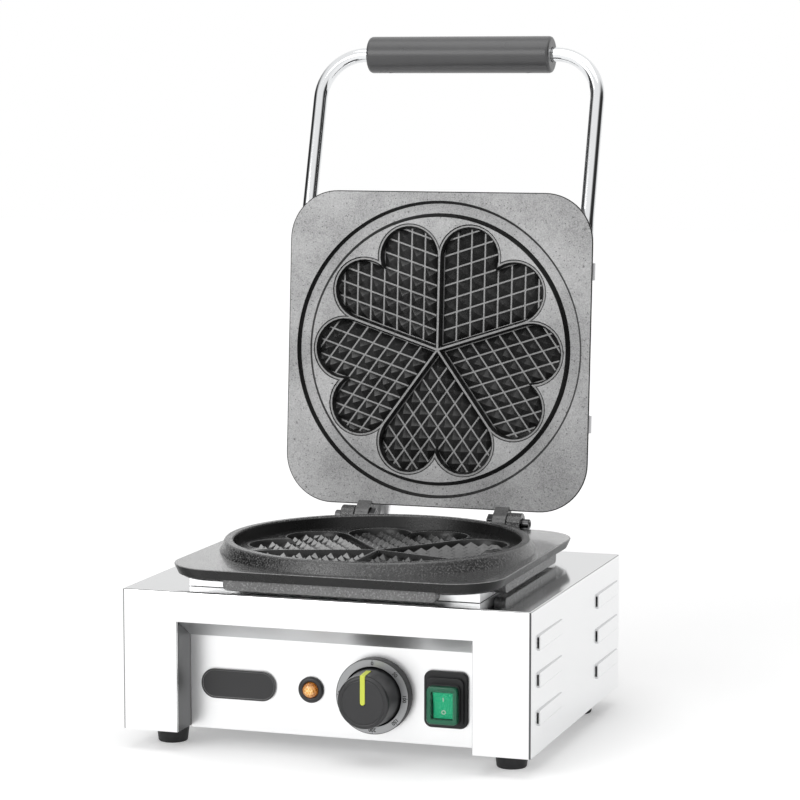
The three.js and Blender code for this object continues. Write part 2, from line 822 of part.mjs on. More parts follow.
function switchBody() {
  const front = panelFront;
  const shape = roundedRectangle(switchX, controlZ, switchBodyWidth, switchBodyHeight, switchCornerRadius - gap);
  const body = prismBack(shape, front, front + switchBodyDepth);
  const cavity = block(switchX - switchCavityWidth / 2, switchX + switchCavityWidth / 2, front - overrun,
    front + switchCavityDepth, controlZ - switchCavityHeight / 2, controlZ + switchCavityHeight / 2);
  const reach = rockerWidth / 2 + trunnionReach + gap;
  const bearing = turnedAcross(disc(trunnionDiameter / 2 + bearingGap, -reach, reach), switchX,
    front + rockerPivotDepth, controlZ);
  return cut(body, cavity, bearing);
}

// Stepped rubber frame round the switch.
function switchFrame() {
  let start = gap;
  let frame = null;
  switchTierHeights.forEach((end, tier) => {
    const shrink = 2 * switchTierStep * tier;
    const shape = roundedRectangle(switchX, controlZ, switchFrameWidth - shrink,
      switchFrameHeight - shrink * switchTierTallShare, switchFrameRadius - switchTierStep * tier / 2);
    const layer = prismBack(shape, panelFront - end, panelFront - start);
    frame = frame ? join(frame, layer) : layer;
    start = end - gap;
  });
  return cut(frame, block(switchX - coverWidth / 2 + 2 * coverWall, switchX + coverWidth / 2 - 2 * coverWall,
    panelFront - knobReach, panelFront + overrun,
    controlZ - coverHeight / 2 + 2 * coverWall - gap, controlZ + coverHeight / 2 - 2 * coverWall + gap));
}

function splashCover() {
  const start = switchTierHeights[switchTierHeights.length - 1] + gap;
  const outer = roundedRectangle(switchX, controlZ, coverWidth, coverHeight, 2 * switchCornerRadius);
  const inner = roundedRectangle(switchX, controlZ, coverWidth - 2 * coverWall, coverHeight - 2 * coverWall,
    2 * switchCornerRadius - coverWall);
  return cut(
    prismBack(outer, panelFront - start - coverDepth, panelFront - start),
    prismBack(inner, panelFront - start - coverDepth + coverWall, panelFront - start + overrun),
  );
}

// The rocker lies in its own frame, with the pivot on the origin and the front along -Y.
function rocker() {
  const front = rockerReach + rockerPivotDepth;
  const half = rockerHeight / 2;
  const crown = half * Math.tan(rockerTilt * degree);
  const neck = rockerNeckReach + rockerPivotDepth;
  const shape = outline([
    [-neck, -rockerNeckHeight / 2], [-front - crown, -half], [-front, 0], [-front - crown, half],
    [-neck, rockerNeckHeight / 2], [0, rockerHubDiameter / 2], [rockerHubDiameter / 2, 0],
    [0, -rockerHubDiameter / 2],
  ]);
  const reach = rockerWidth / 2 + trunnionReach;
  return join(
    prismAcross(shape, -rockerWidth / 2, rockerWidth / 2),
    turnedAcross(disc(trunnionDiameter / 2, -reach, reach), 0, 0, 0, smallRoundSteps / 2),
  );
}

// Hearts

function heartShape() {
  const along = new THREE.Vector2(Math.sin(sectorHalf), Math.cos(sectorHalf));
  const inward = new THREE.Vector2(-Math.cos(sectorHalf), Math.sin(sectorHalf));
  const centre = along.clone().multiplyScalar(lobeReach).addScaledVector(inward, heartBorder + lobeRadius);
  const tip = heartBorder / Math.sin(sectorHalf);
  const meet = Math.acos(-centre.x / lobeRadius);
  const shape = new THREE.Shape();
  shape.moveTo(0, tip);
  shape.lineTo(centre.x + lobeRadius * Math.cos(sectorHalf), centre.y - lobeRadius * Math.sin(sectorHalf));
  shape.absarc(centre.x, centre.y, lobeRadius, -sectorHalf, meet, false);
  shape.absarc(-centre.x, centre.y, lobeRadius, Math.PI - meet, Math.PI + sectorHalf, false);
  return shape;
}

// Rhombic pyramids in rows along the heart's two straight edges.
function teeth(floorZ) {
  const right = new THREE.Vector3(Math.sin(sectorHalf), Math.cos(sectorHalf), 0);
  const left = new THREE.Vector3(-Math.sin(sectorHalf), Math.cos(sectorHalf), 0);
  const side = toothSide - toothValley / Math.sin(2 * sectorHalf);
  const tip = heartBorder / Math.sin(sectorHalf) + toothFirst;
  const rows = Math.floor((lobeReach + lobeRadius) / toothSide);
  const reach = heartReach();
  const found = [];
  for (let i = 0; i < rows; i += 1) {
    for (let j = 0; j < rows; j += 1) {
      const centre = right.clone().multiplyScalar((i + 1 / 2) * toothSide)
        .addScaledVector(left, (j + 1 / 2) * toothSide);
      centre.y += tip;
      if (insideHeart(centre, reach)) {
        const pyramid = new THREE.ConeGeometry(Math.SQRT1_2, 1, 4).rotateX(Math.PI / 2)
          .rotateZ(Math.PI / 4).translate(0, 0, 1 / 2);
        const stretch = new THREE.Matrix4().makeBasis(
          right.clone().multiplyScalar(side), left.clone().multiplyScalar(side),
          new THREE.Vector3(0, 0, toothHeight + gap));
        stretch.setPosition(centre.x, centre.y, floorZ - gap);
        found.push(solid(pyramid.applyMatrix4(stretch)));
      }
    }
  }
  return found;
}

function heartReach() {
  const along = lobeReach * Math.cos(sectorHalf) + (heartBorder + lobeRadius) * Math.sin(sectorHalf);
  const aside = lobeReach * Math.sin(sectorHalf) - (heartBorder + lobeRadius) * Math.cos(sectorHalf);
  return { along, aside };
}

// A tooth belongs to a heart when its middle lies in a lobe's circle or between the straight edges.
function insideHeart(centre, reach) {
  const side = Math.abs(centre.x);
  const lobe = Math.hypot(side - reach.aside, centre.y - reach.along) < lobeRadius - toothValley;
  const wedge = centre.y < reach.along && side < centre.y * Math.tan(sectorHalf) - toothValley;
  return lobe || wedge;
}

// What is cut from a plate for its five hearts: pockets that leave the teeth standing.
// The plate's face is at z = 0 and the pockets go down.
function heartTools() {
  let pocket = prismUp(heartShape(), -pocketDepth, overrun, lobeSteps);
  const trim = prismUp(heartShape(), -pocketDepth - overrun, overrun, lobeSteps);
  for (const tooth of teeth(-pocketDepth)) {
    pocket = pocket.subtract(tooth.intersect(trim));
  }
  const shape = geometryOf(pocket);
  const tools = [];
  for (let i = 0; i < heartCount; i += 1) {
    tools.push(shape.clone().rotateZ(2 * sectorHalf * i));
  }
  return tools;
}

// Lower plate

function lowerPlate() {
  const half = plateWidth / 2;
  const flange = prismUp(roundedRectangle(0, plateCentreY, plateWidth, plateWidth, plateCornerRadius),
    lowerPlateUnder, lowerPlateTop);
  const underWidth = plateWidth - 2 * underInset;
  const underShape = roundedRectangle(0, plateCentreY, underWidth, underWidth, plateCornerRadius - underInset);
  const under = prismUp(underShape, castingBottom, lowerPlateUnder + gap);
  const ring = turnedUp([
    [basinRadius, -gap], [ringBaseRadius, -gap], [ringBaseRadius, 0],
    [ringOuterRadius, ringHeight - ringChamfer], [ringOuterRadius - ringChamfer, ringHeight],
    [ringInnerRadius + ringChamfer, ringHeight], [ringInnerRadius, ringHeight - ringChamfer],
    [basinRadius, 0], [basinRadius, -gap],
  ], 0, plateCentreY, lowerPlateTop, roundSteps);
  let casting = join(flange, under, ring);
  for (const skirt of skirts(half)) casting = join(casting, skirt);
  for (const side of [-1, 1]) casting = join(casting, baseLug(side));
  for (const tool of heartTools()) {
    casting = cut(casting, solid(tool.translate(0, plateCentreY, lowerPlateTop)));
  }
  for (const [x, y] of plateStudPlaces()) {
    casting = join(casting, turnedUp(disc(plateStudDiameter / 2, -plateStudLength, gap), x, y, castingBottom,
      smallRoundSteps / 2));
  }
  return casting;
}

// Short skirts that hang down round the plinth, in the middle of the sides.
function skirts(half) {
  const front = plateCentreY - half + skirtFrontInset;
  const side = half - skirtSideInset;
  const inner = side - skirtThickness;
  const bottom = castingBottom - skirtDrop;
  const top = castingBottom + gap;
  const frontHalf = half - skirtFrontEnd;
  const near = plateCentreY - half + skirtSideEnd;
  const far = plateCentreY + half - skirtSideEnd;
  return [
    block(-frontHalf, frontHalf, front, front + skirtThickness, bottom, top),
    block(-side, -inner, near, far, bottom, top),
    block(inner, side, near, far, bottom, top),
  ];
}

function baseLug(side) {
  const x0 = Math.min(side * baseLugInner, side * baseLugOuter);
  const arm = outline([
    [hingeY - hingeBehindPlate - plateThickness, lowerPlateUnder - underThickness / 2],
    [hingeY - hingeBehindPlate, lowerPlateUnder - underThickness / 2],
    [hingeY, hingeZ - barrelRadius], [hingeY, hingeZ],
    [hingeY - barrelRadius + gap, hingeZ + hingeAbovePlate],
    [hingeY - hingeBehindPlate - plateThickness, lowerPlateTop],
  ]);
  return cut(
    join(
      prismAcross(arm, x0, x0 + lugWidth),
      turnedAcross(disc(barrelRadius, 0, lugWidth), x0, hingeY, hingeZ, smallRoundSteps + 4),
    ),
    turnedAcross(drill(pinRadius + bearingGap, lugWidth), x0, hingeY, hingeZ),
  );
}

function plateStudPlaces() {
  const x = plinthWidth / 2 - plateStudInset / 2;
  const y0 = plinthFront + plateStudInset / 2;
  const y1 = plinthBack - plateStudInset / 2;
  return [[-x, y0], [x, y0], [-x, y1], [x, y1]];
}

// The plinth is a shallow sheet pan on the body, open in the middle for the heater.
function plinth() {
  const half = plinthWidth / 2;
  const bottom = bodyTop + gap;
  const top = castingBottom - gap;
  let pan = cut(
    block(-half, half, plinthFront, plinthBack, bottom, top),
    block(-half + bodySheet, half - bodySheet, plinthFront + bodySheet, plinthBack - bodySheet,
      bottom - overrun, top - bodySheet),
    block(-half + plinthLip, half - plinthLip, plinthFront + plinthLip, plinthBack - plinthLip,
      bottom - overrun, top + overrun),
  );
  for (const [x, y] of plateStudPlaces()) {
    pan = cut(pan, turnedUp(drill(plateStudDiameter / 2 + gap, plinthHeight), x, y, bottom));
  }
  return pan;
}

// Heaters, heat shield and insulation

// Flat heater loop whose two legs go down from its back.
function heaterRoute(topZ, legLength, half, front, back) {
  const z = topZ - heaterRadius;
  return new Route([
    at(-heaterLegHalf, back, z - legLength), at(-heaterLegHalf, back, z), at(-half, back, z),
    at(-half, front, z), at(half, front, z), at(half, back, z),
    at(heaterLegHalf, back, z), at(heaterLegHalf, back, z - legLength),
  ], heaterBend, bendSteps - 1);
}

function lowerHeater() {
  const route = heaterRoute(castingBottom - gap, heaterLegLength, lowerHeaterHalf,
    shieldFront + lowerHeaterInset, lowerHeaterBack);
  return bar(route, heaterRadius, heaterSides);
}

function heatShield() {
  const slab = (grow, z0, z1) => block(-shieldHalf - grow, shieldHalf + grow, shieldFront - grow,
    shieldBack + grow, z0, z1);
  let pan = cut(
    join(
      slab(-gap, shieldFloor, shieldTop),
      slab(shieldLip, shieldTop - shieldSheet, shieldTop),
    ),
    slab(-gap - shieldSheet, shieldFloor + shieldSheet, shieldTop + overrun),
  );
  for (const tool of shieldHoles()) pan = cut(pan, tool);
  return pan;
}

function shieldHoles() {
  const hole = (x, y) => turnedUp(drill(wireHoleDiameter / 2, shieldDepth), x, y, shieldFloor);
  return [hole(-heaterLegHalf, lowerHeaterBack), hole(heaterLegHalf, lowerHeaterBack),
    hole(bulbLength / 2 + capillaryBend * 2, 0)];
}

function lowerInsulation() {
  const inset = shieldSheet + 2 * gap;
  const bottom = shieldFloor + shieldSheet + gap;
  let slab = block(-shieldHalf + inset, shieldHalf - inset, shieldFront + inset, shieldBack - inset,
    bottom, bottom + insulationThickness);
  for (const tool of shieldHoles()) slab = cut(slab, tool);
  return slab;
}

function thermalLimiter() {
  return turnedUp(disc(limiterDiameter / 2, -limiterHeight - gap, -gap), -lowerHeaterHalf, 0, shieldFloor);
}

// Lid, in its own frame: the hinge axis is the origin, the lid rises along +Z and +Y is its back.

function upperPlate() {
  const slab = prismBack(roundedRectangle(0, lidCentre, plateWidth, plateWidth, plateCornerRadius),
    faceOffset, plateBack);
  const boss = prismBack(roundedRectangle(0, lidCentre, bossWidth, bossWidth, plateCornerRadius - underInset),
    plateBack - gap, bossBack);
  const groove = turnedBack([
    [grooveInnerRadius - grooveSlope, -overrun], [grooveOuterRadius + grooveSlope, -overrun],
    [grooveOuterRadius + grooveSlope, 0], [grooveOuterRadius, grooveDepth],
    [grooveInnerRadius, grooveDepth], [grooveInnerRadius - grooveSlope, 0],
    [grooveInnerRadius - grooveSlope, -overrun],
  ], 0, faceOffset, lidCentre, roundSteps);
  let casting = join(slab, boss);
  for (const side of [-1, 1]) casting = join(casting, lidLug(side));
  casting = cut(casting, groove);
  for (const tool of heartTools()) {
    const placed = tool.rotateZ(Math.PI).rotateX(Math.PI / 2).translate(0, faceOffset, lidCentre);
    casting = cut(casting, solid(placed));
  }
  const socket = disc(clipScrewDiameter / 2 + gap, -clipScrewDepth, overrun);
  for (const [x, z] of clipScrewPlaces()) {
    casting = cut(casting, turnedBack(socket, x, bossBack, z));
  }
  return casting;
}

// The lid's hinge lug, with the heel that stops the open lid on the lower plate's rear edge.
function lidLug(side) {
  const x0 = Math.min(side * lidLugInner, side * lidLugOuter);
  const arm = outline([
    [-barrelRadius * lugNoseOutShare, barrelRadius * lugNoseUpShare],
    [faceOffset, hingeBehindPlate + plateThickness / 2],
    [plateBack, hingeBehindPlate + plateThickness], [barrelRadius, 0], [0, 0],
  ]);
  const lean = openLean * degree;
  const corner = (y, z) => [y * Math.cos(lean) - z * Math.sin(lean), y * Math.sin(lean) + z * Math.cos(lean)];
  const front = hingeBehindPlate - gap;
  const heel = outline([
    corner(0, -heelBottom), corner(0, -heelTop), corner(-front, -heelTop), corner(-front, -heelBottom),
  ].reverse());
  return cut(
    join(
      prismAcross(arm, x0, x0 + lugWidth),
      prismAcross(heel, x0, x0 + lugWidth),
      turnedAcross(disc(barrelRadius - gap, 0, lugWidth), x0, 0, 0, smallRoundSteps + 4),
    ),
    turnedAcross(drill(pinRadius + bearingGap, lugWidth), x0, 0, 0),
  );
}

// Hinge pin from the lid lug's inner side out through the lower plate's lug.
function hingePin() {
  const start = lidLugInner - gap - hingeNutHeight;
  const end = baseLugOuter + pinProud;
  const pin = turnedAcross(disc(pinRadius, start, end), 0, 0, 0);
  const socket = disc(socketDiameter / 2, end - socketDepth, end + overrun);
  return cut(pin, turnedAcross(socket, 0, 0, 0, hexSides));
}

function hingeNut() {
  const end = lidLugInner - gap;
  return nut(turnedAcross, pinRadius, hingeNutDiameter, end - hingeNutHeight, end, 0, 0, 0);
}

function clipScrewPlaces() {
  const x = rodHalfSpan - rodRadius - clipFoot / 2 - gap;
  return clipPlaces.flatMap((z) => [[-x, z], [x, z]]);
}

// The lid cover is a sheet pan with a flange that lies on the back of the upper plate.
function lidCover() {
  const half = coverPanWidth / 2;
  const flange = roundedRectangle(0, lidCentre, coverFlangeWidth, coverFlangeWidth,
    plateCornerRadius - underInset);
  const outer = roundedRectangle(0, lidCentre, coverPanWidth, coverPanWidth, coverPanRadius);
  const inner = roundedRectangle(0, lidCentre, coverPanWidth - 2 * bodySheet, coverPanWidth - 2 * bodySheet,
    coverPanRadius - bodySheet);
  let pan = cut(
    join(prismBack(outer, panStart, panEnd), prismBack(flange, panStart, panStart + bodySheet)),
    prismBack(inner, panStart - overrun, panEnd - bodySheet),
    turnedUp(drill(glandThreadDiameter / 2 + gap, bodySheet), conduitX, lidGlandY(),
      lidCentre - half),
  );
  for (const [x, z] of clipScrewPlaces()) {
    pan = cut(pan, turnedBack(drill(clipScrewDiameter / 2 + gap, bodySheet), x, panStart, z));
  }
  return pan;
}

function upperHeater() {
  const half = coverPanWidth / 2 - upperHeaterInset;
  const flat = heaterRoute(0, lidHeaterLegLength, half, -half, half);
  flat.places = flat.places.map((p) => at(p.x, panStart - p.z, lidCentre + p.y));
  return bar(flat, heaterRadius, heaterSides);
}

function lidInsulation() {
  const half = coverPanWidth / 2 - bodySheet - lidInsulationMargin;
  const front = panStart + heaterDiameter + gap;
  let slab = prismBack(roundedRectangle(0, lidCentre, 2 * half, 2 * half, coverPanRadius),
    front, front + lidInsulationThickness);
  for (const side of [-1, 1]) {
    slab = cut(slab, turnedBack(drill(wireHoleDiameter / 2, lidInsulationThickness),
      side * heaterLegHalf, front, lidCentre + coverPanWidth / 2 - upperHeaterInset));
  }
  return slab;
}

function lidGlandY() {
  return panEnd - glandDiameter / 2 - 2 * bodySheet;
}

function lidGland() {
  const wall = lidCentre - coverPanWidth / 2;
  return turnedUp(glandProfile(), conduitX, lidGlandY(), wall - gap);
}

// A gland whose shoulder is at height 0 and whose thread goes up from there.
function glandProfile() {
  const bore = conduitDiameter / 2 - conduitWall;
  return [
    [bore, -glandHeight], [glandDiameter / 2, -glandHeight], [glandDiameter / 2, 0],
    [glandThreadDiameter / 2, 0], [glandThreadDiameter / 2, glandThreadLength],
    [bore, glandThreadLength], [bore, -glandHeight],
  ];
}

// Handle

function slopeAngle() {
  return Math.atan2(gripBehindFace - rodBehindFace, gripAt - rodBendAt);
}

function handleCorners() {
  const low = faceOffset + rodBehindFace;
  const high = faceOffset + gripBehindFace;
  return [
    at(-rodHalfSpan, low, rodStart), at(-rodHalfSpan, low, rodBendAt), at(-rodHalfSpan, high, gripAt),
    at(rodHalfSpan, high, gripAt), at(rodHalfSpan, low, rodBendAt), at(rodHalfSpan, low, rodStart),
  ];
}

function handleRod() {
  return bar(new Route(handleCorners(), rodCornerRadius, rodCornerSteps), rodRadius, rodSides);
}

function handleGrip() {
  const half = gripLength / 2;
  const radius = gripDiameter / 2;
  const bore = rodRadius + gap;
  const grip = turnedAcross([
    [bore, -half], [radius - gripChamfer, -half], [radius, -half + gripChamfer],
    [radius, half - gripChamfer], [radius - gripChamfer, half], [bore, half], [bore, -half],
  ], 0, faceOffset + gripBehindFace, gripAt, smallRoundSteps + 4);
  const hole = (side) => turnedUp(disc(gripScrewDiameter / 2 + gap, -radius - overrun, -rodRadius),
    side * gripScrewX, faceOffset + gripBehindFace, gripAt);
  return cut(grip, hole(-1), hole(1));
}

function gripScrew(side) {
  const screw = disc(gripScrewDiameter / 2, -gripDiameter / 2 + 2 * gap, -rodRadius - gap);
  return turnedUp(screw, side * gripScrewX, faceOffset + gripBehindFace, gripAt, smallRoundSteps / 2);
}

// Saddle clip round the rod, with its foot on the lid cover's flange.
function rodClip(side, z) {
  const centreY = faceOffset + rodBehindFace;
  const inner = rodRadius + gap;
  const outer = inner + clipThickness;
  const start = panStart + bodySheet + gap;
  const strap = prismUp(ringSector(inner, outer, -clipWrap, Math.PI - clipRise),
    -clipWidth / 2, clipWidth / 2, lobeSteps);
  const strapPlaced = solid(geometryOf(strap).scale(side, 1, 1).translate(side * rodHalfSpan, centreY, z));
  const footEnd = rodHalfSpan - inner - clipThickness / 2;
  const footStart = rodHalfSpan - rodRadius - clipFoot - gap;
  const [screwX] = clipScrewPlaces().find(([x]) => x * side > 0);
  const foot = block(Math.min(side * footStart, side * footEnd), Math.max(side * footStart, side * footEnd),
    start, start + clipThickness, z - clipWidth / 2, z + clipWidth / 2);
  return cut(join(strapPlaced, foot),
    turnedBack(drill(clipScrewDiameter / 2 + gap, clipThickness), screwX, start, z));
}

function ringSector(inner, outer, from, to) {
  const shape = new THREE.Shape();
  shape.absarc(0, 0, outer, from, to, false);
  shape.absarc(0, 0, inner, to, from, true);
  return shape;
}

function clipScrew(side, z) {
  const [x] = clipScrewPlaces().find(([place]) => place * side > 0);
  const headStart = bodySheet + clipThickness + 2 * gap;
  const shank = clipScrewDiameter / 2;
  return turnedBack([
    [0, gap - clipScrewDepth], [shank, gap - clipScrewDepth], [shank, headStart],
    [clipScrewHead / 2, headStart],
    [shank, headStart + clipScrewHeadHeight], [0, headStart + clipScrewHeadHeight],
  ], x, panStart, z, smallRoundSteps / 2);
}

// Lead to the lid

function lidToBody(y, z) {
  const lean = openLean * degree;
  return [hingeY + y * Math.cos(lean) + z * Math.sin(lean), hingeZ - y * Math.sin(lean) + z * Math.cos(lean)];
}

function elbowRoute(overlap) {
  const z = bodyBottom + elbowHeight;
  return new Route([
    at(conduitX, bodyBack - glandThreadLength - overlap, z), at(conduitX, conduitY, z),
    at(conduitX, conduitY, z + elbowRise + overlap),
  ], conduitDiameter / 2, bendSteps);
}

function conduitElbow() {
  const z = bodyBottom + elbowHeight;
  const bend = bar(elbowRoute(0), glandThreadDiameter / 2, rodSides + 4);
  const collar = turnedBack(disc(glandDiameter / 2, gap, glandHeight / 2), conduitX, bodyBack, z);
  const cup = turnedUp(disc(glandDiameter / 2, elbowRise - glandHeight / 2, elbowRise), conduitX,
    conduitY, z);
  const bore = bar(elbowRoute(overrun), conduitDiameter / 2 - conduitWall, rodSides);
  return cut(join(bend, collar, cup), bore);
}

function elbowNut() {
  const end = -bodySheet - gap;
  return nut(turnedBack, glandThreadDiameter / 2, inletDiameter, end - glandNutHeight, end,
    conduitX, bodyBack, bodyBottom + elbowHeight);
}

function conduit() {
  const bottom = bodyBottom + elbowHeight + elbowRise + gap;
  const glandEnd = lidCentre - coverPanWidth / 2 - glandHeight;
  const [topY, topZ] = lidToBody(lidGlandY(), glandEnd - 2 * gap);
  const [bendY, bendZ] = lidToBody(lidGlandY(), glandEnd - conduitDiameter);
  const lean = openLean * degree;
  const route = (more) => new Route([
    at(conduitX, conduitY, bottom - more), at(conduitX, conduitY, bottom + conduitDiameter),
    at(conduitX, bendY, bendZ), at(conduitX, topY + more * Math.sin(lean), topZ + more * Math.cos(lean)),
  ], conduitDiameter, bendSteps);
  return cut(
    bar(route(0), conduitDiameter / 2, rodSides + 2),
    bar(route(overrun), conduitDiameter / 2 - conduitWall, rodSides + 2),
  );
}

// Mains inlet gland in the rear wall, its nut, the terminal block and the wiring.
function inletGland() {
  const bore = inletBore / 2;
  const thread = glandThreadDiameter / 2;
  const head = inletDiameter / 2;
  return turnedBack([
    [bore, -glandThreadLength], [thread, -glandThreadLength], [thread, gap], [head, gap],
    [head, inletReach / 2], [thread, inletReach], [bore, inletReach], [bore, -glandThreadLength],
  ], inletX, bodyBack, bodyBottom + inletHeight);
}

function inletNut() {
  const end = -bodySheet - gap;
  return nut(turnedBack, glandThreadDiameter / 2, inletDiameter, end - glandNutHeight, end,
    inletX, bodyBack, bodyBottom + inletHeight);
}

function plateLevel() {
  return bodyBottom + gap + bodySheet + gap;
}

function terminalBlock() {
  return block(terminalX - terminalWidth / 2, terminalX + terminalWidth / 2, terminalY - terminalDepth / 2,
    terminalY + terminalDepth / 2, plateLevel(), plateLevel() + terminalHeight);
}

function wire(corners) {
  return bar(new Route(corners, wireBend, bendSteps - 2), wireDiameter / 2, wireSides);
}

function switchWire() {
  const front = terminalY - terminalDepth / 2 - gap;
  const z = plateLevel() + terminalHeight / 2;
  const x = terminalX + terminalWidth / 4;
  const end = panelFront + switchBodyDepth + gap;
  return wire([at(x, front, z), at(x, (front + end) / 2, z), at(switchX, (front + end) / 2, controlZ),
    at(switchX, end, controlZ)]);
}

function thermostatWire() {
  const front = terminalY - terminalDepth / 2 - gap;
  const z = plateLevel() + terminalHeight / 2;
  const x = terminalX - terminalWidth / 4;
  const end = panelBack + gap + thermostatDepth + gap;
  return wire([at(x, front, z), at(x, (front + end) / 2, z), at(dialX, (front + end) / 2, controlZ),
    at(dialX, end, controlZ)]);
}

function heaterWire(side) {
  const top = plateLevel() + terminalHeight + gap;
  const x = terminalX + side * terminalWidth / 4;
  const legZ = castingBottom - gap - heaterRadius - heaterLegLength - gap;
  const legX = side * heaterLegHalf;
  const level = (top + legZ) / 2;
  return wire([at(x, terminalY, top), at(x, terminalY, level), at(legX, lowerHeaterBack, level),
    at(legX, lowerHeaterBack, legZ)]);
}

// Assembly

const machine = new THREE.Group();
const base = new THREE.Group();
machine.add(base);

addPiece(base, 'housing', housing(), 'steel');
addPiece(base, 'bottom_plate', bottomPlate(), 'steel');
addPiece(base, 'control_panel', controlPanel(), 'panelSteel');
const footNames = ['foot_front_left', 'foot_front_right', 'foot_rear_left', 'foot_rear_right'];
footPlaces().forEach(([x, y], i) => {
  addPiece(base, footNames[i], turnedUp(foot(), x, y, 0), 'rubber');
});
addPiece(base, 'name_badge', badge(), 'blackPlastic');
addPiece(base, 'pilot_bezel', pilotBezel(), 'blackPlastic');
addPiece(base, 'pilot_lens', pilotLens(), 'amber');
addPiece(base, 'pilot_nut', pilotNut(), 'blackPlastic');
addPiece(base, 'dial_bezel', dialBezel(), 'blackPlastic');
addPiece(base, 'dial_scale', dialScale(), 'scale');
addPiece(base, 'thermostat_body', thermostatBody(), 'steel');
addPiece(base, 'thermostat_nut', thermostatNut(), 'brass');
addPiece(base, 'thermostat_bulb', thermostatBulb(), 'brass');
addPiece(base, 'switch_body', switchBody(), 'blackPlastic');
addPiece(base, 'switch_frame', switchFrame(), 'rubber');
addPiece(base, 'switch_splash_cover', splashCover(), 'greenCover');
addPiece(base, 'plinth', plinth(), 'panelSteel');
addPiece(base, 'lower_plate', lowerPlate(), 'castIron');
addPiece(base, 'lower_heater', lowerHeater(), 'heater');
addPiece(base, 'heat_shield', heatShield(), 'steel');
addPiece(base, 'lower_insulation', lowerInsulation(), 'wool');
addPiece(base, 'thermal_limiter', thermalLimiter(), 'ceramic');
addPiece(base, 'conduit_elbow', conduitElbow(), 'chrome');
addPiece(base, 'conduit_elbow_nut', elbowNut(), 'brass');
addPiece(base, 'lid_conduit', conduit(), 'chrome');
addPiece(base, 'inlet_gland', inletGland(), 'blackPlastic');
addPiece(base, 'inlet_nut', inletNut(), 'blackPlastic');
addPiece(base, 'terminal_block', terminalBlock(), 'ceramic');
addPiece(base, 'switch_wire', switchWire(), 'wire');
addPiece(base, 'thermostat_wire', thermostatWire(), 'wire');
addPiece(base, 'heater_wire_left', heaterWire(-1), 'wire');
addPiece(base, 'heater_wire_right', heaterWire(1), 'wire');

const hinge = new THREE.Group();
hinge.position.set(0, hingeY, hingeZ);
base.add(hinge);
for (const [side, word] of [[-1, 'left'], [1, 'right']]) {
  addPiece(hinge, `hinge_pin_${word}`, solid(geometryOf(hingePin()).scale(side, 1, 1)), 'castIron');
  addPiece(hinge, `hinge_nut_${word}`, solid(geometryOf(hingeNut()).scale(side, 1, 1)), 'castIron');
}

const controls = new THREE.Group();
controls.position.set(dialX, panelFront, controlZ);
base.add(controls);
addPiece(controls, 'temperature_knob', knob(), 'blackPlastic');
addPiece(controls, 'knob_pointer', knobPointer(), 'pointer');
addPiece(controls, 'thermostat_shaft', thermostatShaft(), 'steel');

const rockerGroup = new THREE.Group();
rockerGroup.position.set(switchX, panelFront + rockerPivotDepth, controlZ);
rockerGroup.rotation.x = rockerTilt * degree;
base.add(rockerGroup);
addPiece(rockerGroup, 'switch_rocker', rocker(), 'green');

const lid = new THREE.Group();
lid.position.set(0, hingeY, hingeZ);
lid.rotation.x = -openLean * degree;
machine.add(lid);
addPiece(lid, 'upper_plate', upperPlate(), 'castGrey');
addPiece(lid, 'lid_cover', lidCover(), 'steel');
addPiece(lid, 'upper_heater', upperHeater(), 'heater');
addPiece(lid, 'lid_insulation', lidInsulation(), 'wool');
addPiece(lid, 'lid_gland', lidGland(), 'chrome');
addPiece(lid, 'handle_rod', handleRod(), 'chrome');
addPiece(lid, 'handle_grip', handleGrip(), 'softGrip');
for (const [side, word] of [[-1, 'left'], [1, 'right']]) {
  addPiece(lid, `grip_screw_${word}`, gripScrew(side), 'steel');
  clipPlaces.forEach((z, i) => {
    const place = `${word}_${i ? 'upper' : 'lower'}`;
    addPiece(lid, `rod_clip_${place}`, rodClip(side, z), 'chrome');
    addPiece(lid, `clip_screw_${place}`, clipScrew(side, z), 'chrome');
  });
}

// The origin is the middle of the whole machine's floor rectangle.
machine.updateMatrixWorld(true);
const reach = new THREE.Box3().setFromObject(machine);
machine.position.set(-(reach.min.x + reach.max.x) / 2, -(reach.min.y + reach.max.y) / 2, -reach.min.z);
machine.updateMatrixWorld(true);

export default machine;
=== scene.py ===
import math

import bpy
from mathutils import Matrix, Vector


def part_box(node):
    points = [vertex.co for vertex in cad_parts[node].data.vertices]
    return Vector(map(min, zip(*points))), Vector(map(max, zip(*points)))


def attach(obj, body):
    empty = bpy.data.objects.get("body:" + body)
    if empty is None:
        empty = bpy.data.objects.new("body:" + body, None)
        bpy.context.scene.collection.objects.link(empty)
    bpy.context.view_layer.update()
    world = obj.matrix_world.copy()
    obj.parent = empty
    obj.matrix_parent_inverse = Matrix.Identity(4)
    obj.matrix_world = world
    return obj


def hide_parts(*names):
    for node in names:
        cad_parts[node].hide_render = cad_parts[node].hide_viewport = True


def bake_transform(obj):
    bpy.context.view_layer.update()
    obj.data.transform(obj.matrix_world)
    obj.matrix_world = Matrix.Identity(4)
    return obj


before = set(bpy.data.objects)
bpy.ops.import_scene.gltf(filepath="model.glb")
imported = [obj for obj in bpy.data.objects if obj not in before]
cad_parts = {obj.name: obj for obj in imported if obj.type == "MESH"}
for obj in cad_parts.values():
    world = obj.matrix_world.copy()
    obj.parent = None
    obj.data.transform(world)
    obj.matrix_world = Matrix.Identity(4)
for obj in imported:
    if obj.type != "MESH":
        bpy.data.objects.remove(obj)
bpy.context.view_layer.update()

# Places. Lengths in this script are in millimetres, and MM turns them into metres.
MM = 0.001
housing_low, housing_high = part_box("housing")
MACHINE = Matrix.Translation((0, (housing_low.y + housing_high.y) / 2, 0))
FACING_FRONT = Matrix.Rotation(math.radians(90), 4, "X")
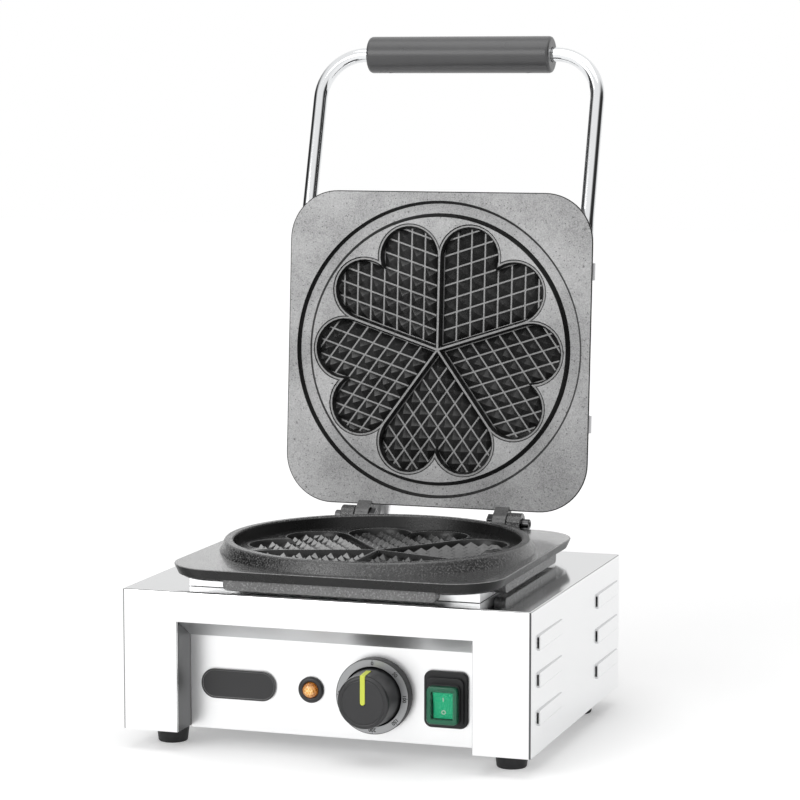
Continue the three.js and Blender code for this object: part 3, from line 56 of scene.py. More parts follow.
FACING_BACK = Matrix.Rotation(math.radians(-90), 4, "X")
FACING_RIGHT = Matrix.Rotation(math.radians(90), 4, "Y")
# Stands an outline on its edge: its x runs back, its y up and its thickness to the right
ON_EDGE = Matrix(((0, 0, 1, 0), (1, 0, 0, 0), (0, 1, 0, 0), (0, 0, 0, 1)))
OPEN_LEAN = 4
HINGE_Y, HINGE_Z = 115, 122
LID = (MACHINE @ Matrix.Translation((0, HINGE_Y * MM, HINGE_Z * MM))
       @ Matrix.Rotation(math.radians(-OPEN_LEAN), 4, "X"))

# Body and control recess
BODY_X, BODY_Y, BODY_LOW, BODY_HIGH = 136, 113, 13, 105
SHEET, GAP = 1.2, 0.3
LOUVRE_COLUMNS, LOUVRE_ROWS = (-68.3, 77.7), (22.6, 46.5, 70)
PANEL_Y, CONTROL_Z = -90, 42
BADGE_X, PILOT_X, DIAL_X, SWITCH_X, COVER_Z = -65, -15.5, 28.2, 75, 39.8
RECESS_X, RECESS_TOP, HOOD_DROP, RECESS_LIP = 98.5, 85, 12.3, 9

# Cast plates
PLATE_WIDTH, PLATE_RADIUS, PLATE_Y, PLATE_TOP, PLATE_THICK = 222, 35, -4, 120, 6
CASTING_LOW, SKIRT_LOW, FLANGE = 111.8, 106.5, 4.6
STUDS = [(x, y) for x in (-93, 93) for y in (-88.8, 80.5)]
LUG_WIDTH, LUG_BORE, BASE_LUGS, LID_LUGS = 10, 3.8, (-66, 56), (-55.5, 45.5)
HEARTS, HEART_BORDER, LOBE, LOBE_REACH, POCKET = 5, 1.5, 20.6, 64.9, 6
TOOTH_SIDE, TOOTH_ROWS, VALLEY, TOOTH_HIGH, TOOTH_FIRST = 10.4, 9, 0.5, 4.7, 1.2
# How far each outline of a pocket lies inside the heart, and how deep its flare and its rim go
WALL, FLARE, FLARE_DEEP = 0.6, -1.25, 3
RIM, RIM_OUT, RIM_DEEP = -1.9, -3.1, 0.5
HEARTS_END, OUTLINE_START = 90, 106

# Lid, handle and hose
LID_CENTRE, LID_FACE, LID_BACK = 119, 2.8, 8.8
ROD_X, ROD_Y, ROD_RADIUS, ROD_BEND, GRIP_Y, GRIP_S = 102.5, 15.8, 5, 210, 43.8, 328
CLIP_X, CLIP_PLACES = 91.2, (119 - 0.2606 * 188, 119 + 0.3032 * 188)
PAN_START, PAN_END, PAN_HALF = 15.1, 40.8, 83
CONDUIT_X, CONDUIT_Y, CONDUIT_Z, ELBOW_TOP, HOSE_RADIUS = -46, 137, 79, 96, 6.25


def spot(x, y, z):
    return Vector((x, y, z)) * MM


def moved(x, y, z):
    return Matrix.Translation(spot(x, y, z))


def on_panel(x, z=CONTROL_Z):
    """The frame of a control: x right, y up and z out of the panel's face."""
    return MACHINE @ moved(x, PANEL_Y, z) @ FACING_FRONT


# Camera, at the photograph's viewing angle
def set_camera():
    yaw, pitch = math.radians(18.251), math.radians(6.505)
    across, up_by, away = 13.61, 217.39, 1890.8
    focal_pixels, photo_pixels, film = 2829.3, 800, 36
    level = math.cos(pitch)
    back = Vector((math.sin(yaw) * level, -math.cos(yaw) * level, math.sin(pitch)))
    right = (-back).cross(Vector((0, 0, 1))).normalized()
    up = right.cross(-back)
    data = bpy.data.cameras.new("camera")
    data.sensor_fit = "HORIZONTAL"
    data.sensor_width = film
    data.lens = focal_pixels * film / photo_pixels
    data.clip_start, data.clip_end = 0.1, 50
    camera = bpy.data.objects.new("camera", data)
    bpy.context.scene.collection.objects.link(camera)
    camera.rotation_mode = "QUATERNION"
    camera.rotation_quaternion = (-back).to_track_quat("-Z", "Y")
    camera.location = MACHINE @ ((back * away + right * across + up * up_by) * MM)
    bpy.context.scene.camera = camera


set_camera()


# Materials
class Value:
    """A socket in a material, so that sums on it can be written plainly."""

    def __init__(self, paint, socket):
        self.paint, self.socket = paint, socket

    def sum(self, operation, *others):
        terms = dict(enumerate((self, *others)))
        return self.paint.node("ShaderNodeMath", {"operation": operation}, terms)

    def __add__(self, other):
        return self.sum("ADD", other)

    def __sub__(self, other):
        return self.sum("SUBTRACT", other)

    def __rsub__(self, other):
        return self.paint.node("ShaderNodeMath", {"operation": "SUBTRACT"}, {0: other, 1: self})

    def __mul__(self, other):
        return self.sum("MULTIPLY", other)

    __radd__ = __add__
    __rmul__ = __mul__

    def __pow__(self, other):
        return self.sum("POWER", other)

    def between(self, low, high):
        """0 below low, 1 above high, and a smooth rise between them."""
        return self.paint.node("ShaderNodeMapRange", {"interpolation_type": "SMOOTHSTEP"},
                               {0: self, 1: low, 2: high})


class Paint:
    """One material and its nodes."""

    def __init__(self, name, **constants):
        self.material = bpy.data.materials.new(name)
        self.material.use_nodes = True
        self.tree = self.material.node_tree
        self.shader = self.tree.nodes["Principled BSDF"]
        self.set(**constants)

    def set(self, **values):
        for key, value in values.items():
            self.feed(self.shader.inputs[key.replace("_", " ").title()], value)
        return self

    def feed(self, socket, value):
        if isinstance(value, Value):
            self.tree.links.new(value.socket, socket)
        elif isinstance(value, tuple) and len(value) == 3 and socket.type == "RGBA":
            socket.default_value = (*value, 1)
        else:
            socket.default_value = value

    def node(self, kind, settings=None, inputs=None, output=0):
        node = self.tree.nodes.new(kind)
        for key, value in (settings or {}).items():
            setattr(node, key, value)
        for key, value in (inputs or {}).items():
            self.feed(node.inputs[key], value)
        return Value(self, node.outputs[output])

    @classmethod
    def around(cls, world):
        """The world's own nodes, in the same terms as a material's."""
        paint = cls.__new__(cls)
        paint.tree = world.node_tree
        paint.shader = paint.tree.nodes["Background"]
        return paint

    def ray(self, kind):
        return self.node("ShaderNodeLightPath", output=f"Is {kind} Ray")

    def rays(self):
        """1 for the rays that see the background themselves, in the lens, in metal or in glass."""
        return self.ray("Camera").sum("MAXIMUM", self.ray("Glossy")).sum("MAXIMUM", self.ray("Transmission"))

    def axes(self, where):
        """The x, y and z of a place or direction."""
        found = self.node("ShaderNodeSeparateXYZ", None, {0: where}).socket.node.outputs
        return [Value(self, found[axis]) for axis in "XYZ"]

    def place(self):
        return self.node("ShaderNodeTexCoord", output="Object")

    def stretched(self, x, y, z):
        return self.node("ShaderNodeMapping", None, {"Vector": self.place(), "Scale": (x, y, z)})

    def noise(self, scale, detail=3, where=None, rough=0.5):
        """Uneven spots. The scale is how many of them lie on a metre."""
        return self.node("ShaderNodeTexNoise", None, {
            "Vector": where or self.place(), "Scale": scale, "Detail": detail, "Roughness": rough})

    def cells(self, scale, feature="F1"):
        places = {"Vector": self.place(), "Scale": scale}
        return self.node("ShaderNodeTexVoronoi", {"feature": feature}, places)

    def mix(self, share, first, second):
        return self.node("ShaderNodeMix", {"data_type": "RGBA"}, {0: share, 6: first, 7: second}, 2)

    def bump(self, height, depth, strength=1):
        """Relief of that depth in millimetres."""
        relief = {"Strength": strength, "Distance": depth * MM, "Height": height}
        return self.node("ShaderNodeBump", None, relief)


def grey(level, blue=0.0):
    return level, level, level + blue


def darker(colour, share):
    return tuple(share * c for c in colour)


def brushed_steel(name, colour, low, high, along=(1, 1, 1)):
    """Rolled sheet with fine lines in one direction and faint clouds of polish."""
    paint = Paint(name, metallic=1)
    lines = paint.noise(900, 2, paint.stretched(*along))
    clouds = paint.noise(18, 3)
    paint.set(base_color=paint.mix(clouds, darker(colour, 0.97), colour),
              roughness=low + (high - low) * (0.6 * lines + 0.4 * clouds),
              normal=paint.bump(lines, 0.004, 0.25))
    return paint.material


def chrome():
    paint = Paint("chrome", metallic=1)
    haze = paint.noise(60, 4)
    bright = (0.8, 0.81, 0.82)
    paint.set(base_color=paint.mix(haze, darker(bright, 0.94), bright), roughness=0.06 + 0.05 * haze)
    return paint.material


def cast_iron(name, dark, light, low, high, grain=0.12, metal=0.5, shine=0.5, painted_glint=None, oil=0.0):
    """Sand-cast surface: coarse skin, fine grain, specks and a few pits, with painted glints (a lighter
    colour standing in for highlights) on its higher grains and a film of oil where the plate is seasoned."""
    paint = Paint(name, metallic=metal, coat_weight=oil, coat_roughness=0.12)
    paint.shader.inputs["Specular IOR Level"].default_value = shine
    skin = paint.noise(260, 4, rough=0.6)
    grit = paint.noise(1100, 3, rough=0.65).between(0.3, 0.7)
    pits = paint.cells(330).between(0.03, 0.2) * paint.noise(520, 3, rough=0.7).between(0.27, 0.4)
    patches = paint.noise(22, 3).between(0.3, 0.7)
    tone = paint.mix(0.35 * patches + 0.35 * grit + 0.3 * skin, dark, light)
    relief = skin * 0.7 + grit * 0.25 + pits * 0.12
    if painted_glint:
        # The higher grains take a lighter colour as painted glints.
        peaks = paint.noise(800, 3, rough=0.6).between(0.48, 0.7)
        tone = paint.mix(peaks, tone, painted_glint)
        relief = relief + peaks * 0.5
    paint.set(base_color=paint.mix(pits, darker(dark, 0.6), tone),
              roughness=low + (high - low) * (0.5 * skin + 0.5 * patches),
              normal=paint.bump(relief, grain))
    return paint.material


def plastic(name, dark, light, low, high, grain=0.03, scale=1800):
    paint = Paint(name)
    fine = paint.noise(scale, 2)
    wear = paint.noise(35, 3)
    paint.set(base_color=paint.mix(wear, dark, light), roughness=low + (high - low) * wear,
              normal=paint.bump(fine, grain, 0.6))
    return paint.material


def green_cover():
    """Clear green plastic, thin over the rocker and deep in its thick rim."""
    paint = Paint("green_cover", coat_weight=0.4, coat_roughness=0.1, roughness=0.15)
    clear_x, clear_z = 7.4 * MM, 9 * MM
    x, _, z = paint.axes(paint.place())
    across = (x - SWITCH_X * MM).sum("ABSOLUTE") * (1 / clear_x)
    up = (z - COVER_Z * MM).sum("ABSOLUTE") * (1 / clear_z)
    rim = across.sum("MAXIMUM", up).between(0.9, 1.05)
    haze = paint.noise(90, 2)
    paint.set(base_color=paint.mix(haze, (0.0, 0.13, 0.06), (0.0, 0.2, 0.095)), alpha=0.07 + 0.7 * rim)
    return paint.material


def amber_lens():
    """Faceted amber plastic, lit from behind and brightest in the middle."""
    paint = Paint("amber_lens", coat_weight=1, emission_strength=0.4)
    facets = paint.cells(620, "DISTANCE_TO_EDGE").between(0.0, 0.3)
    x, _, z = paint.axes(paint.place())
    across, up = x - PILOT_X * MM, z - CONTROL_Z * MM
    edge = ((across * across + up * up) ** 0.5).between(1.2 * MM, 4.8 * MM)
    tone = paint.mix(edge, (0.9, 0.36, 0.03), (0.22, 0.06, 0.006))
    light = paint.mix(edge, (1, 0.66, 0.25), (0.6, 0.2, 0.02))
    glow = paint.mix(facets, light, tone)
    paint.set(base_color=glow, emission_color=glow, roughness=0.1 + 0.1 * facets,
              normal=paint.bump(facets, 0.5))
    return paint.material


def green_rocker():
    """Lit green plastic with a fine net of dots."""
    paint = Paint("green_rocker", emission_strength=0.3)
    dots = paint.cells(1500).between(0.25, 0.45)
    bright = (0.08, 0.7, 0.36)
    paint.set(base_color=paint.mix(dots, bright, (0.0, 0.42, 0.19)), roughness=0.3 + 0.15 * dots,
              emission_color=paint.mix(dots, bright, (0.0, 0.42, 0.2)), normal=paint.bump(dots, 0.05, 0.5))
    return paint.material


def mineral_wool():
    paint = Paint("mineral_wool")
    fibres = paint.noise(700, 5, paint.stretched(1, 1, 6), 0.7)
    paint.set(base_color=paint.mix(fibres, (0.42, 0.36, 0.25), (0.72, 0.67, 0.55)),
              roughness=0.85 + 0.1 * fibres, normal=paint.bump(fibres, 0.8))
    return paint.material


# Steel: colour, smoothest and roughest, and how much finer its lines lie along x, y and z
STEELS = {
    "body_steel": ((0.925, 0.927, 0.93), 0.14, 0.22, (1, 1, 14)),
    # Darker copy of the body's steel for the flat sides: painted shade.
    "side_steel": ((0.86, 0.865, 0.87), 0.16, 0.24, (1, 1, 14)),
    # Darker copy of the body's steel for the top: a painted reflection of the dark plate.
    "top_steel": ((0.6, 0.605, 0.61), 0.06, 0.12, (1, 14, 1)),
    # Near-black copy for the rounded corners and top rim: painted dark reflection lines.
    "bend_steel": ((0.13, 0.13, 0.135), 0.3, 0.4, (1, 1, 14)),
    "polished_steel": ((0.955, 0.957, 0.96), 0.32, 0.4, (1, 14, 14)),
    # Darker copy for the louvre hoods and the recess's hood band: painted shade.
    "hood_steel": ((0.66, 0.665, 0.67), 0.38, 0.46, (1, 14, 14)),
    # Near-black copy for the recess's cheeks: painted shade.
    "cheek_steel": ((0.15, 0.152, 0.154), 0.4, 0.5, (1, 14, 14)),
    "hose_steel": ((0.92, 0.92, 0.925), 0.3, 0.4, (14, 14, 1)),
    "dark_steel": ((0.1, 0.1, 0.102), 0.25, 0.35),
    "steel_part": ((0.5, 0.5, 0.51), 0.25, 0.4),
    "dial_metal": ((0.36, 0.365, 0.37), 0.28, 0.38),
    "heater_sheath": ((0.2, 0.19, 0.17), 0.4, 0.6),
    "brass": ((0.72, 0.5, 0.2), 0.2, 0.35),
}
# Cast iron: darkest, lightest, smoothest, roughest, depth of the grain, metal, shine, painted glint and oil
IRONS = {
    "cast_iron_dark": (grey(0.003), grey(0.014, 0.001), 0.08, 0.22, 0.26, 0.0, 1, grey(0.1)),
    "flange_iron": (grey(0.003), grey(0.014, 0.001), 0.08, 0.22, 0.26, 0.0, 1, grey(0.1), 0.75),
    # Lighter copy of the dark iron: painted light on the skirts and painted highlight lines on edges and
    # rims.
    "skirt_iron": (grey(0.1), grey(0.22), 0.14, 0.28, 0.26, 0.0, 0.8, grey(0.34)),
    "cast_iron_grey": (grey(0.15, 0.001), grey(0.57, 0.002), 0.34, 0.5, 0.12, 0.45),
    # Near-black copy for steep walls, the plate's outer edge and the ring's inner wall: painted shade.
    "wall_iron": (grey(0.006), grey(0.024), 0.2, 0.36, 0.08, 0.2, 0.4),
    # Dark copy of the lid's iron for the teeth in the pockets: painted shade.
    "pocket_iron": (grey(0.024), grey(0.11), 0.2, 0.36, 0.08, 0.7, 1),
    # Glossy oil coat, with a lighter grey than the plate as painted light on the lower teeth.
    "oiled_iron": (grey(0.024), grey(0.17), 0.12, 0.28, 0.14, 0.7, 1, None, 1.0),
    # Light copy for the pocket floors between the teeth and the heart rims: painted highlight lines.
    "valley_iron": (grey(0.16), grey(0.34), 0.3, 0.45, 0.04),
    # Darker copy of the lid's iron for its lugs: painted shade.
    "lug_iron": (grey(0.05), grey(0.22), 0.28, 0.42, 0.14, 0.3),
}
# Plastic and the like: darkest, lightest, smoothest, roughest, depth of the grain and grains on a metre
PLASTICS = {
    "black_plastic": (grey(0.022, 0.001), grey(0.034, 0.002), 0.28, 0.38),
    # Lighter copy of the black plastic for bevelled edges: a painted highlight.
    "edge_plastic": (grey(0.12), grey(0.17), 0.28, 0.38),
    "grip_plastic": (grey(0.075, 0.002), grey(0.11, 0.002), 0.24, 0.34, 0.05, 1200),
    "black_rubber": (grey(0.01, 0.001), grey(0.02, 0.001), 0.5, 0.65, 0.05, 900),
    "pointer_yellow": ((0.72, 0.8, 0.08), (0.8, 0.87, 0.12), 0.4, 0.5, 0.02),
    "wire_red": ((0.3, 0.03, 0.02), (0.42, 0.05, 0.03), 0.4, 0.55),
    "steatite": ((0.72, 0.69, 0.62), (0.8, 0.77, 0.7), 0.35, 0.5),
    "black_print": (grey(0.012), grey(0.02), 0.5, 0.6),
    "white_print": ((0.75, 0.78, 0.76), (0.8, 0.83, 0.8), 0.45, 0.55),
}
FINISHES = {"chrome": chrome(), "amber_lens": amber_lens(), "green_rocker": green_rocker(),
            "green_cover": green_cover(), "mineral_wool": mineral_wool()}
for make, table in ((brushed_steel, STEELS), (cast_iron, IRONS), (plastic, PLASTICS)):
    for finish_name, looks in table.items():
        FINISHES[finish_name] = make(finish_name, *looks)


# Workshop: adding, shaping and finishing a piece
def let_go():
    for thing in list(bpy.context.selected_objects):
        thing.select_set(False)


def hold(*pieces):
    let_go()
    for piece in pieces:
        piece.select_set(True)
    bpy.context.view_layer.objects.active = pieces[0]


def named(name):
    piece = bpy.context.object
    piece.name = piece.data.name = name
    bpy.ops.object.transform_apply(location=True, rotation=True, scale=True)
    return piece


def pick(piece, kind, wanted=None):
    """Opens a piece for editing with the wanted corners, edges or faces selected."""
    hold(piece)
    bpy.ops.object.mode_set(mode="EDIT")
    bpy.ops.mesh.select_mode(type=kind)
    bpy.ops.mesh.select_all(action="SELECT" if wanted is None else "DESELECT")
    if wanted:
        bpy.ops.object.mode_set(mode="OBJECT")
        mesh = piece.data
        parts = {"VERT": mesh.vertices, "EDGE": mesh.edges, "FACE": mesh.polygons}[kind]
        for part in parts:
            part.select = wanted(part)
        bpy.ops.object.mode_set(mode="EDIT")


def close():
    bpy.ops.mesh.select_all(action="SELECT")
    bpy.ops.mesh.normals_make_consistent(inside=False)
    bpy.ops.object.mode_set(mode="OBJECT")


def ends(piece, edge):
    return [piece.data.vertices[i].co / MM for i in edge.vertices]


def placed(piece, where):
    piece.data.transform(where)
    return piece


def block(name, x, y, z):
    let_go()
    bpy.ops.mesh.primitive_cube_add(size=1, location=spot(sum(x) / 2, sum(y) / 2, sum(z) / 2),
                                    scale=spot(x[1] - x[0], y[1] - y[0], z[1] - z[0]))
    return named(name)


def blank(name, points, low, high):
    """A flat blank cut to an outline and drawn out to its thickness."""
    let_go()
    bpy.ops.mesh.primitive_circle_add(vertices=len(points), radius=MM, fill_type="NGON")
    piece = named(name)
    for corner, (x, y) in zip(piece.data.vertices, points):
        corner.co = spot(x, y, low)
    pick(piece, "FACE")
    bpy.ops.mesh.extrude_region_move(TRANSFORM_OT_translate={"value": spot(0, 0, high - low)})
    close()
    return piece


def drafted(name, low_outline, high_outline, low, high):
    """A blank whose sides lean from one outline to another."""
    piece = blank(name, low_outline, low, high)
    for corner in piece.data.vertices:
        if corner.co.z / MM > high - 0.01:
            here = corner.co.xy / MM
            nearest = min(range(len(low_outline)), key=lambda i: (Vector(low_outline[i]) - here).length)
            corner.co.xy = Vector(high_outline[nearest]) * MM
    return piece


def rounded(width, height, radius, centre=(0, 0), steps=10):
    points = []
    for turn in range(4):
        middle = Vector((width / 2 - radius, height / 2 - radius))
        middle.x *= 1 if turn in (0, 3) else -1
        middle.y *= 1 if turn in (0, 1) else -1
        for step in range(steps + 1):
            angle = math.radians(90) * (turn + step / steps)
            points.append((centre[0] + middle.x + radius * math.cos(angle),
                           centre[1] + middle.y + radius * math.sin(angle)))
    return points


def turned(name, profile, steps=64):
    """A turned piece: a closed profile of (radius, height), spun round the z axis."""
    let_go()
    bpy.ops.mesh.primitive_circle_add(vertices=len(profile), radius=MM, fill_type="NOTHING")
    piece = named(name)
    for corner, (radius, height) in zip(piece.data.vertices, profile):
        corner.co = spot(radius, 0, height)
    pick(piece, "EDGE")
    bpy.ops.mesh.spin(steps=steps, angle=math.radians(360), center=(0, 0, 0), axis=(0, 0, 1))
    bpy.ops.mesh.select_all(action="SELECT")
    bpy.ops.mesh.remove_doubles(threshold=0.002 * MM)
    bpy.ops.mesh.dissolve_degenerate(threshold=0.001 * MM)
    close()
    return piece


def plug(name, radius, low, high, steps=40):
    """A round bar on the z axis, or the hole that it cuts."""
    return turned(name, [(0, low), (radius, low), (radius, high), (0, high)], steps)


def hexagon(name, bore, across, low, high, edge=0.3):
    """A six-sided piece round the z axis, with a round bore."""
    piece = plug(name, across / 2, low, high, 6)
    if bore:
        cut(piece, plug("bore", bore, low - 1, high + 1))
    return soften(piece, edge) if edge else piece


def rounded_route(corners, radius, steps=12):
    """Points of a line through the corners, with each inner corner rounded."""
    corners = [Vector(c) for c in corners]
    points = [corners[0]]
    for before, corner, after in zip(corners, corners[1:], corners[2:]):
        inward, onward = (before - corner).normalized(), (after - corner).normalized()
        half = inward.angle(onward) / 2
        room = 0.49 * min((before - corner).length, (after - corner).length)
        reach = min(radius / math.tan(half), room)
        centre = corner + (inward + onward).normalized() * (reach / math.cos(half))
        start, stop = corner + inward * reach - centre, corner + onward * reach - centre
        for step in range(steps + 1):
            points.append(centre + start.slerp(stop, step / steps).normalized() * start.length)
    return points + [corners[-1]]


def tube(name, points, radius, sides=8):
    """A bar bent along a line of points, with closed ends."""
    let_go()
    line = bpy.data.curves.new(name, "CURVE")
    line.dimensions = "3D"
    line.bevel_depth, line.bevel_resolution, line.use_fill_caps = radius * MM, sides, True
    spline = line.splines.new("POLY")
    spline.points.add(len(points) - 1)
    for point, where in zip(spline.points, points):
        point.co = (*spot(*where), 1)
    piece = bpy.data.objects.new(name, line)
    bpy.context.scene.collection.objects.link(piece)
    hold(piece)
    bpy.ops.object.convert(target="MESH")
    return named(name)


def lettering(name, words, height, thickness, where, bold):
    """Plain numbers or signs as thin raised print."""
    let_go()
    bpy.ops.object.text_add()
    text = bpy.context.object
    text.data.body, text.data.size = words, height * MM
    text.data.align_x, text.data.align_y = "CENTER", "CENTER"
    text.data.extrude, text.data.offset = thickness * MM / 2, bold * MM
    bpy.ops.object.convert(target="MESH")
    return placed(named(name), where)


def apply(piece, kind, **settings):
    hold(piece)
    modifier = piece.modifiers.new(kind.lower(), kind)
    for key, value in settings.items():
        setattr(modifier, key, value)
    bpy.ops.object.modifier_apply(modifier=modifier.name)
    return piece


def soften(piece, width, segments=2, angle=30, material=-1):
    """Rounds every edge that is sharper than the angle. Material -1 keeps the paint beside it."""
    return apply(piece, "BEVEL", width=width * MM, segments=segments, limit_method="ANGLE",
                 angle_limit=math.radians(angle), harden_normals=False, material=material)


def cut(piece, *tools, operation="DIFFERENCE"):
    for tool in tools:
        apply(piece, "BOOLEAN", operation=operation, object=tool, solver="EXACT")
        bpy.data.objects.remove(tool)
    return piece


def join(piece, *others):
    hold(piece, *others)
    if others:
        bpy.ops.object.join()
    return piece


def copy(piece, name, where=None):
    twin = piece.copy()
    twin.data = piece.data.copy()
    bpy.context.scene.collection.objects.link(twin)
    twin.name = twin.data.name = name
    return placed(twin, where) if where else twin


def mirrored(piece, side=-1):
    """Swaps left and right where the side is -1, and turns the faces outward again."""
    pick(placed(piece, Matrix.Diagonal((side, 1, 1, 1))), "FACE")
    close()
    return piece


def paint_with(piece, *finishes):
    piece.data.materials.clear()
    for finish in finishes:
        piece.data.materials.append(FINISHES[finish])
    return piece


def settle(piece, body, finish, where, *nodes, angle=32):
    """Puts a finished piece in its place, on its body, and in place of its nodes."""
    piece.data.transform(where)
    if not piece.data.materials:
        paint_with(piece, finish)
    hold(piece)
    bpy.ops.object.shade_smooth_by_angle(angle=math.radians(angle))
    apply(piece, "WEIGHTED_NORMAL", keep_sharp=True)
    if nodes:
        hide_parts(*nodes)
    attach(piece, body)
    return piece


def dress(node, finish):
    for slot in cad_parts[node].material_slots:
        slot.link = "OBJECT"
        slot.material = FINISHES[finish]


# Body
def side_louvre(length=62, height=10.5, reach=1.4, fall=0.7, wall=0.7):
    """One pressed hood on the right side sheet. z stands out of the sheet, and x runs back from the
    hood's open front end."""
    def sloped(name, size, low, top):
        form = blank(name, rounded(*size, steps=8), low, top)
        for corner in form.data.vertices:
            if corner.co.z / MM > top - 0.01:
                corner.co.z -= fall * (corner.co.x / MM / length + 0.5) * MM
        return form

    hood = sloped("louvre", (length, height, 4.6), -SHEET, reach)
    pick(hood, "EDGE", lambda e: all(p.z > 0.1 for p in ends(hood, e)))
    bpy.ops.mesh.bevel(offset=1.2 * MM, segments=4, profile=0.5, affect="EDGES")
    close()
    hollow = sloped("hollow", (length - 2.4, height - 2.4, 3.4), -SHEET - 1, reach - wall)
    mouth = block("mouth", (-length, 2.8 - length / 2), (-height, height), (-3, reach + 1))
    return cut(hood, hollow, mouth)


def housing_shell():
    shell = block("housing_shell", (-BODY_X, BODY_X), (-BODY_Y, BODY_Y), (BODY_LOW, BODY_HIGH))
    pick(shell, "FACE", lambda f: f.normal.z < -0.5)
    bpy.ops.mesh.delete(type="FACE")
    bpy.ops.object.mode_set(mode="OBJECT")
    pick(shell, "EDGE", lambda e: not all(p.z < BODY_LOW + 1 for p in ends(shell, e)))
    bpy.ops.mesh.bevel(offset=1.6 * MM, segments=5, affect="EDGES")
    close()
    apply(shell, "SOLIDIFY", thickness=SHEET * MM, offset=-1)
    well = 80
    tools = [block("opening", (-RECESS_X, RECESS_X), (-BODY_Y - 2, -BODY_Y + 4), (0, RECESS_TOP)),
             block("well", (-well, well), (PLATE_Y - well, PLATE_Y + well), (BODY_HIGH - 4, BODY_HIGH + 4))]
    hood = side_louvre()
    places = [(y, BODY_LOW + row) for y in LOUVRE_COLUMNS for row in LOUVRE_ROWS]
    for y, z in places:
        tools.append(block("slot", (-BODY_X - 3, BODY_X + 3), (y - 12, y + 28), (z - 3.8, z + 3.8)))
    cut(shell, *tools)
    soften(shell, 0.2, 2, 50)
    hoods = []
    for y, z in places:
        hoods.append(copy(hood, "hood", moved(BODY_X, y, z) @ ON_EDGE))
        hoods.append(mirrored(copy(hoods[-1], "hood")))
    bpy.data.objects.remove(hood)
    join(shell, *hoods)
    paint_with(shell, "body_steel", "bend_steel", "top_steel", "side_steel", "hood_steel")
    # Painted light on the sheet: the front corners and the rounded top rim take a near-black steel as painted
    # dark reflection lines, the top a darker steel as a painted reflection of the plate, and the flat sides
    # and the louvre hoods darker copies as painted shade.
    for face in shell.data.polygons:
        turn, middle = face.normal, face.center / MM
        corner = turn.y < -0.2 and abs(turn.x) > 0.2 and middle.y < 2 - BODY_Y
        rim = turn.z > 0.5 and max(-turn.y, abs(turn.x)) > 0.5 and middle.z > BODY_HIGH - 2
        if corner or rim:
            face.material_index = 1
        elif turn.z > 0.95 and middle.z > BODY_HIGH - 0.1:
            face.material_index = 2
        elif abs(middle.x) > BODY_X - 0.1:
            face.material_index = 3 if abs(turn.x) > 0.93 else 4
    return shell


settle(housing_shell(), "base", "body_steel", MACHINE, "housing", angle=35)


# Cast plates, each with five hearts
def heart_outline(shrink, steps=18):
    """One heart with its tip towards the plate's centre, drawn in by that much all round."""
    half = math.pi / HEARTS
    border, lobe = HEART_BORDER + shrink, LOBE - shrink
    side = HEART_BORDER + LOBE
    centre = Vector((math.sin(half) * LOBE_REACH - math.cos(half) * side,
                     math.cos(half) * LOBE_REACH + math.sin(half) * side))
    meeting = max(lobe, LOBE)
    cleft = centre.y + math.sqrt(meeting ** 2 - centre.x ** 2) - max(shrink, 0)
    turn = math.acos(-centre.x / meeting) + half
    right = [(centre.x + lobe * math.cos(a), centre.y + lobe * math.sin(a))
             for a in (-half + turn * i / steps for i in range(steps))]
    left = [(-x, y) for x, y in reversed(right)]
    return [(0, border / math.sin(half)), *right, (0, cleft), *left]


def tooth_places():
    half = math.pi / HEARTS
    right, left = Vector((math.sin(half), math.cos(half))), Vector((-math.sin(half), math.cos(half)))
    first = Vector((0, HEART_BORDER / math.sin(half) + TOOTH_FIRST))
    side = TOOTH_SIDE - VALLEY / math.sin(2 * half)
    for i in range(TOOTH_ROWS):
        for j in range(TOOTH_ROWS):
            middle = first + right * (i + 0.5) * TOOTH_SIDE + left * (j + 0.5) * TOOTH_SIDE
            yield middle, right * side / 2, left * side / 2


def heart_bed():
    """The rhombic pyramids of one heart, trimmed to its outline. The plate's face is at height 0."""
    teeth = []
    for middle, right, left in tooth_places():
        if middle.y > HEARTS_END + 2:
            continue
        let_go()
        bpy.ops.mesh.primitive_cone_add(vertices=4, radius1=MM, depth=MM)
        tooth = named("tooth")
        foot = [middle + right + left, middle + left - right, middle - right - left, middle + right - left]
        for corner, where in zip(tooth.data.vertices, [*foot, middle]):
            corner.co = spot(where.x, where.y, -POCKET - 0.3)
        tooth.data.vertices[4].co.z = (TOOTH_HIGH - POCKET) * MM
        pick(tooth, "FACE")
        close()
        teeth.append(tooth)
    bed = join(*teeth)
    return cut(bed, blank("trim", heart_outline(WALL + 0.15), -POCKET - 1, 1), operation="INTERSECT")


